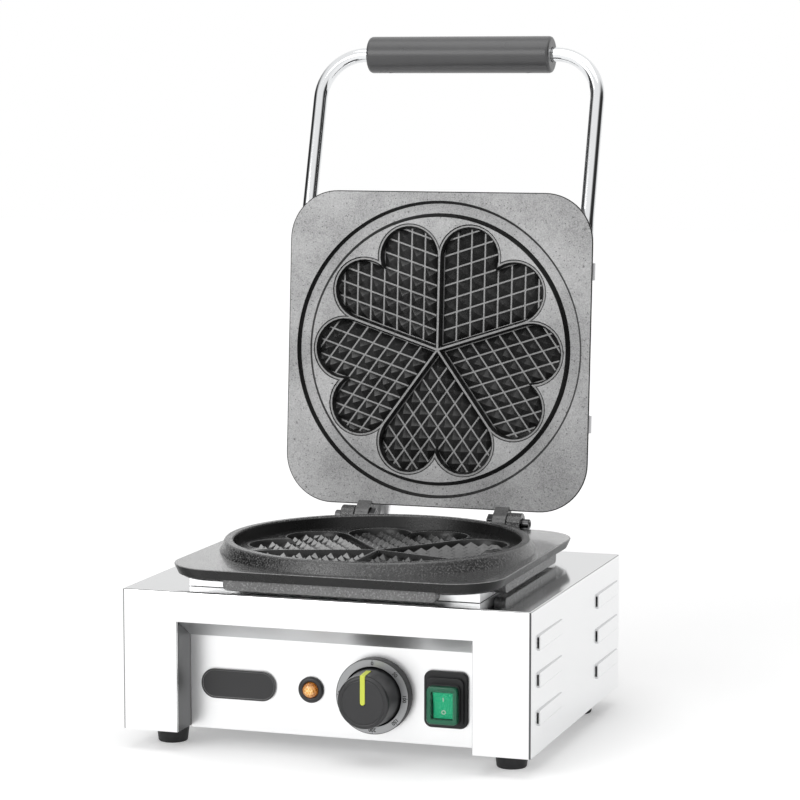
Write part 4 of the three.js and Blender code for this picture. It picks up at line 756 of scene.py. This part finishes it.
def hearts(slab, bed, face_finish, highlight_line_finish, tooth_finish, first_turn=0):
    """Presses the five hearts into a slab whose face is at height 0 and sets their teeth in."""
    spins = [Matrix.Rotation(first_turn + 2 * math.pi / HEARTS * turn, 4, "Z") for turn in range(HEARTS)]
    for spin in spins:
        tools = (drafted("rim", heart_outline(RIM), heart_outline(RIM_OUT), -RIM_DEEP, 0.25),
                 blank("pocket", heart_outline(WALL), -POCKET, 2),
                 drafted("flare", heart_outline(WALL), heart_outline(FLARE), -FLARE_DEEP, 0.3))
        cut(slab, *[placed(tool, spin) for tool in tools])
    # Painted light on the hearts: the steep walls and the plate's outer edge take the dark iron as painted
    # shade, and the pocket floors between the teeth and the rounded heart rims take the line finish as
    # painted highlight lines.
    paint_with(slab, face_finish, "wall_iron", highlight_line_finish)
    for face in slab.data.polygons:
        depth, out = face.center.z / MM, face.center.xy.length / MM
        steep = abs(face.normal.z) < 0.9
        pocket = out < HEARTS_END and -POCKET - 0.1 < depth < -0.2
        face.material_index = 1 if steep else 2 if pocket else 0
    pick(slab, "EDGE", lambda e: all(p.z > -0.01 and p.xy.length > OUTLINE_START for p in ends(slab, e)))
    bpy.ops.mesh.bevel(offset=1 * MM, segments=3, affect="EDGES", material=1)
    close()
    soften(slab, 0.3, 2, 40, material=2)
    for face in slab.data.polygons:
        if face.material_index == 2 and face.center.xy.length / MM > HEARTS_END:
            face.material_index = 1
    return join(slab, *[paint_with(copy(bed, "bed", spin), tooth_finish) for spin in spins])


heart_teeth = heart_bed()


def lug(name, outline, radius):
    """A cast lug round a pin at the origin, from its outline in y and z."""
    arm = blank(name, outline, 0, LUG_WIDTH)
    barrel = turned("barrel", [(LUG_BORE, 0), (radius, 0), (radius, LUG_WIDTH), (LUG_BORE, LUG_WIDTH)], 40)
    cut(arm, plug("bore", LUG_BORE, -1, LUG_WIDTH + 1))
    soften(arm, 0.6, 2)
    soften(barrel, 0.6, 2)
    return placed(join(arm, barrel), ON_EDGE)


def lower_casting():
    top = moved(0, PLATE_Y, PLATE_TOP)
    slab = drafted("lower_casting", rounded(216, 216, 32, steps=16),
                   rounded(PLATE_WIDTH, PLATE_WIDTH, PLATE_RADIUS, steps=16), -FLANGE - 1.8, 0)
    under = drafted("under", rounded(210, 210, 29, steps=12), rounded(214, 214, 31, steps=12),
                    CASTING_LOW - PLATE_TOP, -FLANGE)
    hearts(slab, heart_teeth, "flange_iron", "skirt_iron", "oiled_iron")
    # The rounded outer edge of the flange's face takes the lighter iron as a painted highlight line.
    slab.data.materials.append(FINISHES["skirt_iron"])
    for face in slab.data.polygons:
        outside = face.center.xy.length / MM > OUTLINE_START and face.center.z / MM > -1.1
        if outside and 0.15 < face.normal.z < 0.97:
            face.material_index = len(slab.data.materials) - 1
    ring = turned("ring", [(94, -0.5), (104.8, -0.5), (104.5, 0), (101.5, 7), (100.5, 8), (96.2, 8),
                           (95.2, 7), (94, 0)], 128)
    soften(ring, 0.7, 3, 20)
    soften(under, 0.8, 2)
    parts = [ring, under]
    for part in [slab, *parts]:
        part.data.transform(top)
    high = CASTING_LOW + 3
    tall, middle = high - SKIRT_LOW, (SKIRT_LOW + high) / 2
    skirt = blank("skirt", rounded(142, tall, 3, (3, 0), 5), 0, 9)
    parts.append(soften(placed(skirt, moved(0, PLATE_Y - 97, middle) @ FACING_FRONT), 0.7, 3, 50))
    for x in (-106, 98):
        skirt = blank("skirt", rounded(tall, 122, 3, steps=5), 0, 8)
        parts.append(soften(placed(skirt, moved(x, PLATE_Y, middle) @ FACING_RIGHT), 0.7, 3, 50))
    arm = [(-14, -10.1), (-8, -10.1), (0, -7.5), (0, 0), (-7.2, 2), (-14, -2)]
    for x in BASE_LUGS:
        parts.append(placed(lug("base_lug", arm, 7.5), moved(x, HINGE_Y, HINGE_Z)))
    for x, y in STUDS:
        stud = turned("stud", [(0, -16), (2.6, -16), (3, -15.6), (3, 0.3), (0, 0.3)], 24)
        parts.append(placed(stud, moved(x, y, CASTING_LOW)))
    # The skirts take the lighter iron as painted light, the other parts the dark iron.
    for part in parts:
        paint_with(part, "skirt_iron" if part.name.startswith("skirt") else "cast_iron_dark")
    # The ring's inner wall takes the dark iron as painted shade.
    paint_with(ring, "cast_iron_dark", "wall_iron")
    for face in ring.data.polygons:
        inward = (face.center - spot(0, PLATE_Y, 0)).xy.dot(face.normal.xy) < 0
        face.material_index = int(inward and face.normal.z < 0.6)
    return join(slab, *parts)


def upper_casting():
    """The lid's casting, made face up and then stood in the lid's frame."""
    slab = drafted("upper_casting", rounded(218, 218, 33, steps=16),
                   rounded(PLATE_WIDTH, PLATE_WIDTH, PLATE_RADIUS, steps=16), -PLATE_THICK - 0.2, 0)
    cut(slab, turned("groove", [(93, 1), (93, 0), (95.6, -3.5), (102.4, -3.5), (104.3, 0), (104.3, 1)], 160))
    boss = blank("boss", rounded(192, 192, 32, steps=12), -PLATE_THICK - 6, -PLATE_THICK - 0.1)
    hearts(slab, heart_teeth, "cast_iron_grey", "valley_iron", "pocket_iron", math.pi)
    soften(boss, 1, 2)
    join(slab, paint_with(boss, "cast_iron_dark"))
    slab.data.transform(moved(0, LID_FACE, LID_CENTRE) @ FACING_FRONT)
    arm = [(-4.5, 5.6), (LID_FACE, 11), (LID_BACK, 14), (7.5, 0), (0, 0)]
    lean = math.radians(OPEN_LEAN)
    heel = [(y * math.cos(lean) - z * math.sin(lean), y * math.sin(lean) + z * math.cos(lean))
            for y, z in ((0, -2.5), (0, -7), (-7.7, -7), (-7.7, -2.5))]
    # The lid's lugs take a darker copy of the lid's iron as painted shade.
    for x in LID_LUGS:
        front = lug("lid_lug", arm, 7.2)
        join(front, placed(blank("heel", heel, 0, LUG_WIDTH), ON_EDGE))
        join(slab, paint_with(placed(front, moved(x, 0, 0)), "lug_iron"))
    return slab


settle(lower_casting(), "base", "cast_iron_dark", MACHINE, "lower_plate")
settle(upper_casting(), "lid", "cast_iron_grey", LID, "upper_plate")
bpy.data.objects.remove(heart_teeth)


# Handle
def handle():
    side = [(ROD_Y, 45), (ROD_Y, ROD_BEND), (GRIP_Y, GRIP_S)]
    corners = [(-ROD_X, *c) for c in side] + [(ROD_X, *c) for c in reversed(side)]
    rod = tube("handle_bar", rounded_route(corners, 32, 14), ROD_RADIUS, 10)
    settle(soften(rod, 0.8, 3, 60), "lid", "chrome", LID, "handle_rod", angle=40)
    end = [(5.3, 67.5), (11, 67.5), (12.4, 66.9), (13, 65.5)]
    grip = turned("grip_sleeve", [(r, -s) for r, s in end] + end[::-1], 72)
    soften(grip, 0.4, 2, 12)
    holes = [placed(plug("hole", 2.5, -14, -5.2, 24), moved(x, 0, 0)) for x in (-51, 51)]
    cut(placed(grip, FACING_RIGHT), *holes)
    settle(grip, "lid", "grip_plastic", LID @ moved(0, GRIP_Y, GRIP_S), "handle_grip")


handle()


# Hinge, rod clips, cover and lead of the lid
def hinge_parts():
    hinge = MACHINE @ moved(0, HINGE_Y, HINGE_Z)
    inner, outer = 41.2, 71.3
    for turn, word in ((FACING_RIGHT.inverted(), "left"), (FACING_RIGHT, "right")):
        pin = turned("pin", [(0, inner), (3.2, inner), (3.5, 41.5), (3.5, 70.8), (3, outer), (0, outer)], 40)
        cut(pin, hexagon("socket", 0, 4.4, 68.3, 72, 0))
        nut = hexagon("nut", 3.6, 12, inner, 45.2)
        for piece, name in ((pin, f"hinge_pin_{word}"), (nut, f"hinge_nut_{word}")):
            piece.name = piece.data.name = f"{name}_part"
            settle(paint_with(piece, "dark_steel"), "base", "steel_part", hinge @ turn, name)


def drilled(x, y):
    return placed(plug("hole", 2.3, 0, 30, 24), moved(x, y, 0))


def clip_parts():
    """Saddle clips over the rod, each with one foot on the cover and a crossed screw."""
    inner, outer, start = 5.3, 6.8, PAN_START + SHEET + GAP
    arc = [math.radians(-60 + (230 * i / 20)) for i in range(21)]
    saddle = ([(outer * math.cos(a), outer * math.sin(a)) for a in arc]
              + [(inner * math.cos(a), inner * math.sin(a)) for a in reversed(arc)])
    for side, word in ((-1, "left"), (1, "right")):
        for s, place in zip(CLIP_PLACES, ("lower", "upper")):
            strap = placed(blank("strap", saddle, -6, 6), moved(ROD_X, ROD_Y, 0))
            foot = blank("clip_foot", rounded(12, 12, 2.5, (CLIP_X, 0), 4), start, start + 1.5)
            cut(foot, drilled(CLIP_X, 0))
            clip = soften(join(strap, placed(foot, FACING_BACK)), 0.3, 2)
            end = f"{word}_{place}"
            clip.name = clip.data.name = f"saddle_clip_{end}"
            settle(mirrored(clip, side), "lid", "steel_part", LID @ moved(0, 0, s), f"rod_clip_{end}")
            screw = turned(f"saddle_screw_{end}", [(0, -7.7), (2, -7.7), (2, 3.3), (3.25, 3.3), (3.1, 4.2),
                                                   (2.4, 5.1), (1.2, 5.5), (0, 5.5)], 40)
            slot = block("slot", (-4, 4), (-0.4, 0.4), (4.4, 7))
            cut(screw, slot, block("slot", (-0.4, 0.4), (-4, 4), (4.4, 7)))
            settle(screw, "lid", "chrome", LID @ moved(side * CLIP_X, PAN_START, s) @ FACING_BACK,
                   f"clip_screw_{end}")


def cover_pan():
    def square(name, half, radius, low, high, steps=8):
        return blank(name, rounded(2 * half, 2 * half, radius, steps=steps), low, high)

    pan = soften(square("cover_pan", PAN_HALF, 14, PAN_START, PAN_END), 3, 5, 60)
    cavity = square("cavity", PAN_HALF - SHEET, 12.8, PAN_START - 4, PAN_END - SHEET)
    flange = square("flange", 94, 32, PAN_START, PAN_START + SHEET, 12)
    cut(flange, square("window", PAN_HALF - 1, 13, PAN_START - 1, PAN_START + 3))
    for x in (-CLIP_X, CLIP_X):
        for s in CLIP_PLACES:
            cut(flange, drilled(x, LID_CENTRE - s))
    soften(flange, 0.25, 2)
    join(cut(pan, cavity), flange)
    settle(pan, "lid", "body_steel", LID @ moved(0, 0, LID_CENTRE) @ FACING_BACK, "lid_cover", angle=25)


def lid_lead():
    """Bright metal hose from the rear wall to the lid, laid along one fixed route for the open lid."""
    gland_y, wall = PAN_END - 9.5 - 2 * SHEET, LID_CENTRE - PAN_HALF
    gland = turned("gland_body", [(5.7, -12), (8.6, -12), (9.2, -11.4), (9.2, -8), (7.8, -7.6), (7.8, -7),
                                  (9.5, -6.6), (9.5, 0), (7.5, 0), (7.5, 7), (5.7, 7)], 48)
    place = LID @ moved(CONDUIT_X, gland_y, wall - GAP)
    settle(soften(gland, 0.3, 2, 20), "lid", "chrome", place, "lid_gland")
    lean = math.radians(OPEN_LEAN)

    def from_lid(y, s):
        return (CONDUIT_X, HINGE_Y + y * math.cos(lean) + s * math.sin(lean),
                HINGE_Z - y * math.sin(lean) + s * math.cos(lean))

    corners = [(CONDUIT_X, CONDUIT_Y, 96.3), (CONDUIT_X, CONDUIT_Y, 109), from_lid(gland_y, wall - 25),
               from_lid(gland_y, wall - 12.6)]
    route = rounded_route(corners, 13, 16)
    hose = tube("lead_hose", route, HOSE_RADIUS, 10)
    hose.data.transform(MACHINE)
    paint_with(hose, "hose_steel")
    hold(hose)
    bpy.ops.object.shade_smooth_by_angle(angle=math.radians(60))
    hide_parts("lid_conduit")
    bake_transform(hose)


def conduit_elbow():
    corners = [(CONDUIT_X, y, z)
               for y, z in ((106, CONDUIT_Z), (CONDUIT_Y, CONDUIT_Z), (CONDUIT_Y, ELBOW_TOP))]
    elbow = tube("lead_elbow", rounded_route(corners, 9, 12), 7.5, 12)
    collar = turned("collar", [(7, 0.3), (9.2, 0.3), (9.5, 0.6), (9.5, 5.7), (9.2, 6), (7, 6)], 48)
    placed(collar, moved(CONDUIT_X, BODY_Y, CONDUIT_Z) @ FACING_BACK)
    cup = turned("cup", [(6.6, -6), (9.2, -6), (9.5, -5.7), (9.5, -0.3), (9.2, 0), (6.6, 0)], 48)
    placed(cup, moved(CONDUIT_X, CONDUIT_Y, ELBOW_TOP))
    settle(join(elbow, collar, cup), "base", "chrome", MACHINE, "conduit_elbow")


def inlet():
    body = turned("inlet_fitting", [(4, -7), (7.5, -7), (7.5, 0.3), (10, 0.3), (10, 6.4), (9.4, 7),
                                    (8.8, 7.4), (8.4, 11), (7.5, 13.4), (6.9, 14), (4, 14)], 60)
    flats = hexagon("flats", 7, 20, 0.6, 6.6)
    settle(soften(join(body, flats), 0.25, 2, 25), "base", "black_plastic",
           MACHINE @ moved(88, BODY_Y, 39) @ FACING_BACK, "inlet_gland")


hinge_parts()
clip_parts()
cover_pan()
lid_lead()
conduit_elbow()
inlet()


# Control recess and its controls
def control_tray():
    lip, back, hood = -BODY_Y + SHEET + GAP, PANEL_Y + SHEET, RECESS_TOP - HOOD_DROP
    foot_low, foot_high, foot_end = 11.9, 13.1, PANEL_Y + 16
    lip_end = RECESS_TOP + RECESS_LIP
    profile = [(lip, RECESS_TOP), (PANEL_Y, hood), (PANEL_Y, foot_low), (foot_end, foot_low),
               (foot_end, foot_high), (back, foot_high), (back, hood + SHEET),
               (lip + SHEET, RECESS_TOP + SHEET), (lip + SHEET, lip_end), (lip, lip_end)]
    cheek = [(lip, BODY_LOW), (back, BODY_LOW), (back, hood + SHEET), (lip + SHEET, RECESS_TOP + SHEET),
             (lip, RECESS_TOP + SHEET)]
    tray = placed(blank("control_tray", profile, -RECESS_X, RECESS_X), ON_EDGE)
    holes = [placed(plug("hole", radius, -4, 4), moved(x, PANEL_Y, CONTROL_Z) @ FACING_FRONT)
             for x, radius in ((PILOT_X, 6.8), (DIAL_X, 5.3))]
    holes.append(block("hole", (SWITCH_X - 9.5, SWITCH_X + 9.5), (PANEL_Y - 4, PANEL_Y + 4),
                       (CONTROL_Z - 12, CONTROL_Z + 12)))
    cut(tray, *holes)
    for side in (-1, 1):
        inner = RECESS_X if side > 0 else -RECESS_X - SHEET
        wall = placed(blank("cheek", cheek, 0, SHEET), moved(inner, 0, 0) @ ON_EDGE)
        edge = block("edge", (RECESS_X, RECESS_X + RECESS_LIP), (lip, lip + SHEET),
                     (BODY_LOW, RECESS_TOP + SHEET))
        join(tray, wall, edge if side > 0 else mirrored(edge))
    soften(tray, 0.35, 3, 20)
    paint_with(tray, "polished_steel", "hood_steel", "cheek_steel")
    # The hood band and the cheeks of the recess take darker copies of the steel as painted shade.
    for face in tray.data.polygons:
        place = face.center / MM
        if lip - 0.5 < place.y < PANEL_Y - 0.5 and abs(place.x) < RECESS_X + 0.5:
            face.material_index = 2 if abs(face.normal.x) > 0.8 else int(face.normal.z < -0.3)
    settle(tray, "base", "polished_steel", MACHINE, "control_panel", angle=25)


def plinth_pan():
    below = BODY_HIGH - 4
    pan = block("plinth_pan", (-97.5, 97.5), (-93.3, 85), (BODY_HIGH + GAP, CASTING_LOW - GAP))
    cut(pan, block("well", (-96.3, 96.3), (-92.1, 83.8), (below, CASTING_LOW - 1.5)),
        block("well", (-83.5, 83.5), (-79.3, 71), (below, CASTING_LOW + 4)))
    for x, y in STUDS:
        cut(pan, placed(plug("hole", 3.3, 90, 130, 24), moved(x, y, 0)))
    settle(soften(pan, 0.4, 3), "base", "polished_steel", MACHINE, "plinth")


def feet():
    foot = turned("foot", [(0, 4), (5.5, 4), (5.5, 0.5), (6, 0), (9, 0), (9.6, 0.7), (10.1, 4.6), (10.6, 8.6),
                           (11, 12.4), (10.7, 13), (2.5, 13), (2.5, 22), (0, 22)], 56)
    for end, y in (("front", -81), ("rear", 81)):
        for side, x in (("left", -115), ("right", 115)):
            name = f"foot_{end}_{side}"
            settle(copy(foot, f"rubber_{name}", moved(x, y, 0)), "base", "black_rubber", MACHINE, name)
    bpy.data.objects.remove(foot)


def badge():
    """Bare pill-shaped plate with a fine raised border."""
    plate = blank("badge_plate", rounded(51, 19.5, 9.4, steps=16), 0.3, 1.7)
    pick(plate, "FACE", lambda f: f.normal.z > 0.9)
    bpy.ops.mesh.inset(thickness=1 * MM)
    bpy.ops.mesh.inset(thickness=0.25 * MM, depth=-0.25 * MM)
    close()
    soften(plate, 0.3, 2, 40)
    paint_with(plate, "black_plastic", "edge_plastic")
    # The bevelled faces take a lighter plastic as a painted highlight on the edge.
    for face in plate.data.polygons:
        face.material_index = int(0.3 < face.normal.z < 0.97)
    settle(plate, "base", "black_plastic", on_panel(BADGE_X), "name_badge")


def pilot():
    bezel = turned("pilot_ring", [(5.3, -22), (6.5, -22), (6.5, 0.3), (8.5, 0.3), (8.5, 1.2), (8.1, 1.9),
                                  (7.3, 2.4), (6.4, 2.6), (5.6, 2.4), (5.3, 2.1)], 56)
    settle(bezel, "base", "black_plastic", on_panel(PILOT_X), "pilot_bezel")
    lens = turned("pilot_dome", [(0, -11), (5, -11), (5, 2.5), (4.8, 3.5), (4.2, 4.5), (3.2, 5.3), (1.8, 5.8),
                                 (0.6, 6), (0, 6)], 28)
    settle(lens, "base", "amber_lens", on_panel(PILOT_X), "pilot_lens", angle=12)


def dial():
    cup = turned("dial_cup", [(5.3, 0.3), (23.9, 0.3), (24.2, 0.6), (24.2, 7.9), (24.1, 8.2), (23.95, 8.2),
                              (23.95, 7.3), (20.8, 7.3), (20.8, 2.3), (5.3, 2.3)], 96)
    paint_with(cup, "black_rubber")
    settle(cup, "base", "black_plastic", on_panel(DIAL_X), "dial_bezel", angle=40)
    ring = turned("dial_ring", [(19.3, 7.5), (23.7, 7.5), (23.9, 7.7), (23.8, 8.1), (19.4, 8.1),
                                (19.2, 7.9)], 96)
    paint_with(ring, "dial_metal")
    for turn, words in enumerate(("0", "50", "100", "150", "200", "250", "300")):
        spin = Matrix.Rotation(-math.radians(45 * turn), 4, "Z")
        number = lettering("number", words, 3.3, 0.16, spin @ moved(0, 21.3, 8.12), 0.09)
        tick = placed(block("tick", (-0.2, 0.2), (23, 23.6), (8, 8.18)), spin)
        join(ring, paint_with(number, "black_print"), paint_with(tick, "black_print"))
    settle(ring, "base", "dial_metal", on_panel(DIAL_X), "dial_scale", angle=40)


def knob():
    body = turned("knob_body", [
        (3.3, 8), (6.5, 8), (6.5, 24), (14, 24), (15.6, 3.6), (18.3, 3.6), (18.5, 3.8), (18.5, 6),
        (18.3, 6.8), (17.1, 25.2), (16.6, 26.3), (15.8, 26.8), (14.9, 26.9), (14.6, 26.6), (14.2, 26.5),
        (13.8, 26.6), (13.5, 26.9), (0, 27), (0, 23.7), (3.3, 23.7)], 120)
    trough = block("trough", (-1.7, 1.7), (-1.7, 22), (25.9, 30))
    side = block("side", (-1.7, 1.7), (15.9, 22), (14.6, 30))
    cut(body, trough, side)
    settle(soften(body, 0.15, 2, 50), "knob", "black_plastic", on_panel(DIAL_X), "temperature_knob", angle=35)
    half = 1.55
    end, face = 17.3, 27.3
    bow = [(half * math.cos(a), half * math.sin(a)) for a in (math.pi * (1 + i / 12) for i in range(13))]
    stripe = blank("stripe", [(half, end), (-half, end), *bow], 26, face)
    edge = block("edge", (-half, half), (15.9, end), (15, face))
    pick(edge, "VERT", lambda v: v.co.y > 17 * MM and v.co.z < 22 * MM)
    bpy.ops.transform.translate(value=spot(0, 0.9, 0))
    close()
    cut(stripe, edge, operation="UNION")
    stripe.name = stripe.data.name = "knob_stripe"
    settle(soften(stripe, 0.35, 3, 40), "knob", "pointer_yellow", on_panel(DIAL_X), "knob_pointer", angle=40)


def switch():
    tiers = []
    drop = COVER_Z - CONTROL_Z
    for low, high, width, height, radius, down in ((0.3, 2.6, 28.7, 36.3, 5, 0),
                                                   (2.3, 4.6, 24.9, 31, 4.1, drop / 2),
                                                   (4.3, 6.4, 21.1, 25.7, 3.1, drop)):
        tier = blank("tier", rounded(width, height, radius, (0, down), 8), low, high)
        tiers.append(soften(tier, 0.8, 4, 50))
    opening = blank("opening", rounded(16, 19, 2, (0, drop / 2), 6), -3, 20)
    for tier in tiers:
        apply(tier, "BOOLEAN", operation="DIFFERENCE", object=opening, solver="EXACT")
    bpy.data.objects.remove(opening)
    boot = join(*tiers)
    boot.name = boot.data.name = "switch_boot"
    settle(boot, "base", "black_rubber", on_panel(SWITCH_X), "switch_frame")
    cover = blank("clear_cover", rounded(20.4, 24, 3, (0, drop), 8), 6.7, 11.1)
    soften(cover, 1, 4, 50)
    cut(cover, blank("inside", rounded(18.2, 21.8, 1.9, (0, drop), 8), 6, 10))
    settle(cover, "base", "green_cover", on_panel(SWITCH_X), "switch_splash_cover")
    tilt, half, out = math.radians(7), 8.2, -8.5
    crown = half * math.tan(tilt)
    side = [(-4, -7.3), (out - 1.1 * crown, -9), (out, 0), (out - crown, half), (-4, 6.5), (0, 2.2), (2.2, 0),
            (0, -2.2)]
    rocker = blank("rocker_cap", [(x, z + drop / 2) for x, z in side], -6.75, 6.75)
    soften(rocker, 0.5, 3, 25)
    join(rocker, plug("axle", 1.2, -7.65, 7.65, 24))
    paint_with(placed(rocker, ON_EDGE), "green_rocker")
    for sign, up, lean in (("I", 3.4, tilt), ("O", -5, -tilt)):
        place = moved(0, out - crown * abs(up) / half, up + drop / 2)
        face = place @ Matrix.Rotation(lean, 4, "X") @ FACING_FRONT
        join(rocker, paint_with(lettering("sign", sign, 3.6, 0.3, face, 0.1), "white_print"))
    pose = moved(SWITCH_X, PANEL_Y + 1.5, CONTROL_Z) @ Matrix.Rotation(tilt, 4, "X")
    settle(rocker, "rocker", "green_rocker", MACHINE @ pose, "switch_rocker")


control_tray()
plinth_pan()
feet()
badge()
pilot()
dial()
knob()
switch()

# Nodes that keep their own shape, under the finish that each group takes
OWN_SHAPE = {
    "body_steel": ("bottom_plate", "heat_shield"),
    "steel_part": ("pilot_nut", "thermostat_body", "thermostat_nut", "thermostat_shaft",
                   "conduit_elbow_nut", "grip_screw_left", "grip_screw_right"),
    "brass": ("thermostat_bulb",),
    "black_plastic": ("switch_body", "inlet_nut"),
    "heater_sheath": ("lower_heater", "upper_heater"),
    "mineral_wool": ("lower_insulation", "lid_insulation"),
    "steatite": ("thermal_limiter", "terminal_block"),
    "wire_red": ("switch_wire", "thermostat_wire", "heater_wire_left", "heater_wire_right"),
}
for finish_name, nodes in OWN_SHAPE.items():
    for node in nodes:
        dress(node, finish_name)


# Floor, backdrop and light
def lamp(name, where, size, power):
    data = bpy.data.lights.new(name, "AREA")
    data.shape, data.size, data.size_y, data.energy = "RECTANGLE", size[0], size[1], power
    thing = bpy.data.objects.new(name, data)
    thing.location = where
    thing.rotation_mode = "QUATERNION"
    thing.rotation_quaternion = (Vector((0, 0, 0.2)) - Vector(where)).to_track_quat("-Z", "Y")
    bpy.context.scene.collection.objects.link(thing)


def studio():
    let_go()
    bpy.ops.mesh.primitive_plane_add(size=12, location=(0, 0, 0))
    floor = named("floor")
    paint = Paint("floor", roughness=0.9)
    paint.shader.inputs["Specular IOR Level"].default_value = 0.2
    away = paint.node("ShaderNodeVectorMath", {"operation": "LENGTH"}, {0: paint.place()}, 1)
    # The floor glows less within about 0.2 m of the machine: painted shade that deepens the shadow under it.
    near, far = away.between(0.1, 0.22), away.between(0.3, 1.1)
    white = paint.rays() * (0.17 + 0.14 * near + 0.54 * far)
    paint.set(base_color=paint.mix(far, grey(0.88), grey(0.3)), emission_strength=1,
              emission_color=paint.mix(white, grey(0), grey(1)))
    floor.data.materials.append(paint.material)

    world = bpy.data.worlds.new("white_surround")
    bpy.context.scene.world = world
    world.use_nodes = True
    sky = Paint.around(world)
    x, _, z = sky.axes(sky.node("ShaderNodeTexCoord", output="Generated"))
    aside = x.sum("ABSOLUTE").between(0.62, 0.92)
    low = 1 - z.between(0.35, 0.8)
    sky.feed(sky.shader.inputs["Color"], sky.mix(aside * low * sky.ray("Glossy"), grey(1), grey(0.03)))
    sky.feed(sky.shader.inputs["Strength"], 0.55 + 0.45 * sky.rays())

    lamp("top_light", (0.1, -0.3, 1.7), (1.5, 1.3), 9)
    lamp("front_light", (-0.9, -1.9, 1.0), (1.3, 1.0), 12)


studio()

scene = bpy.context.scene
scene.view_settings.view_transform = "Standard"
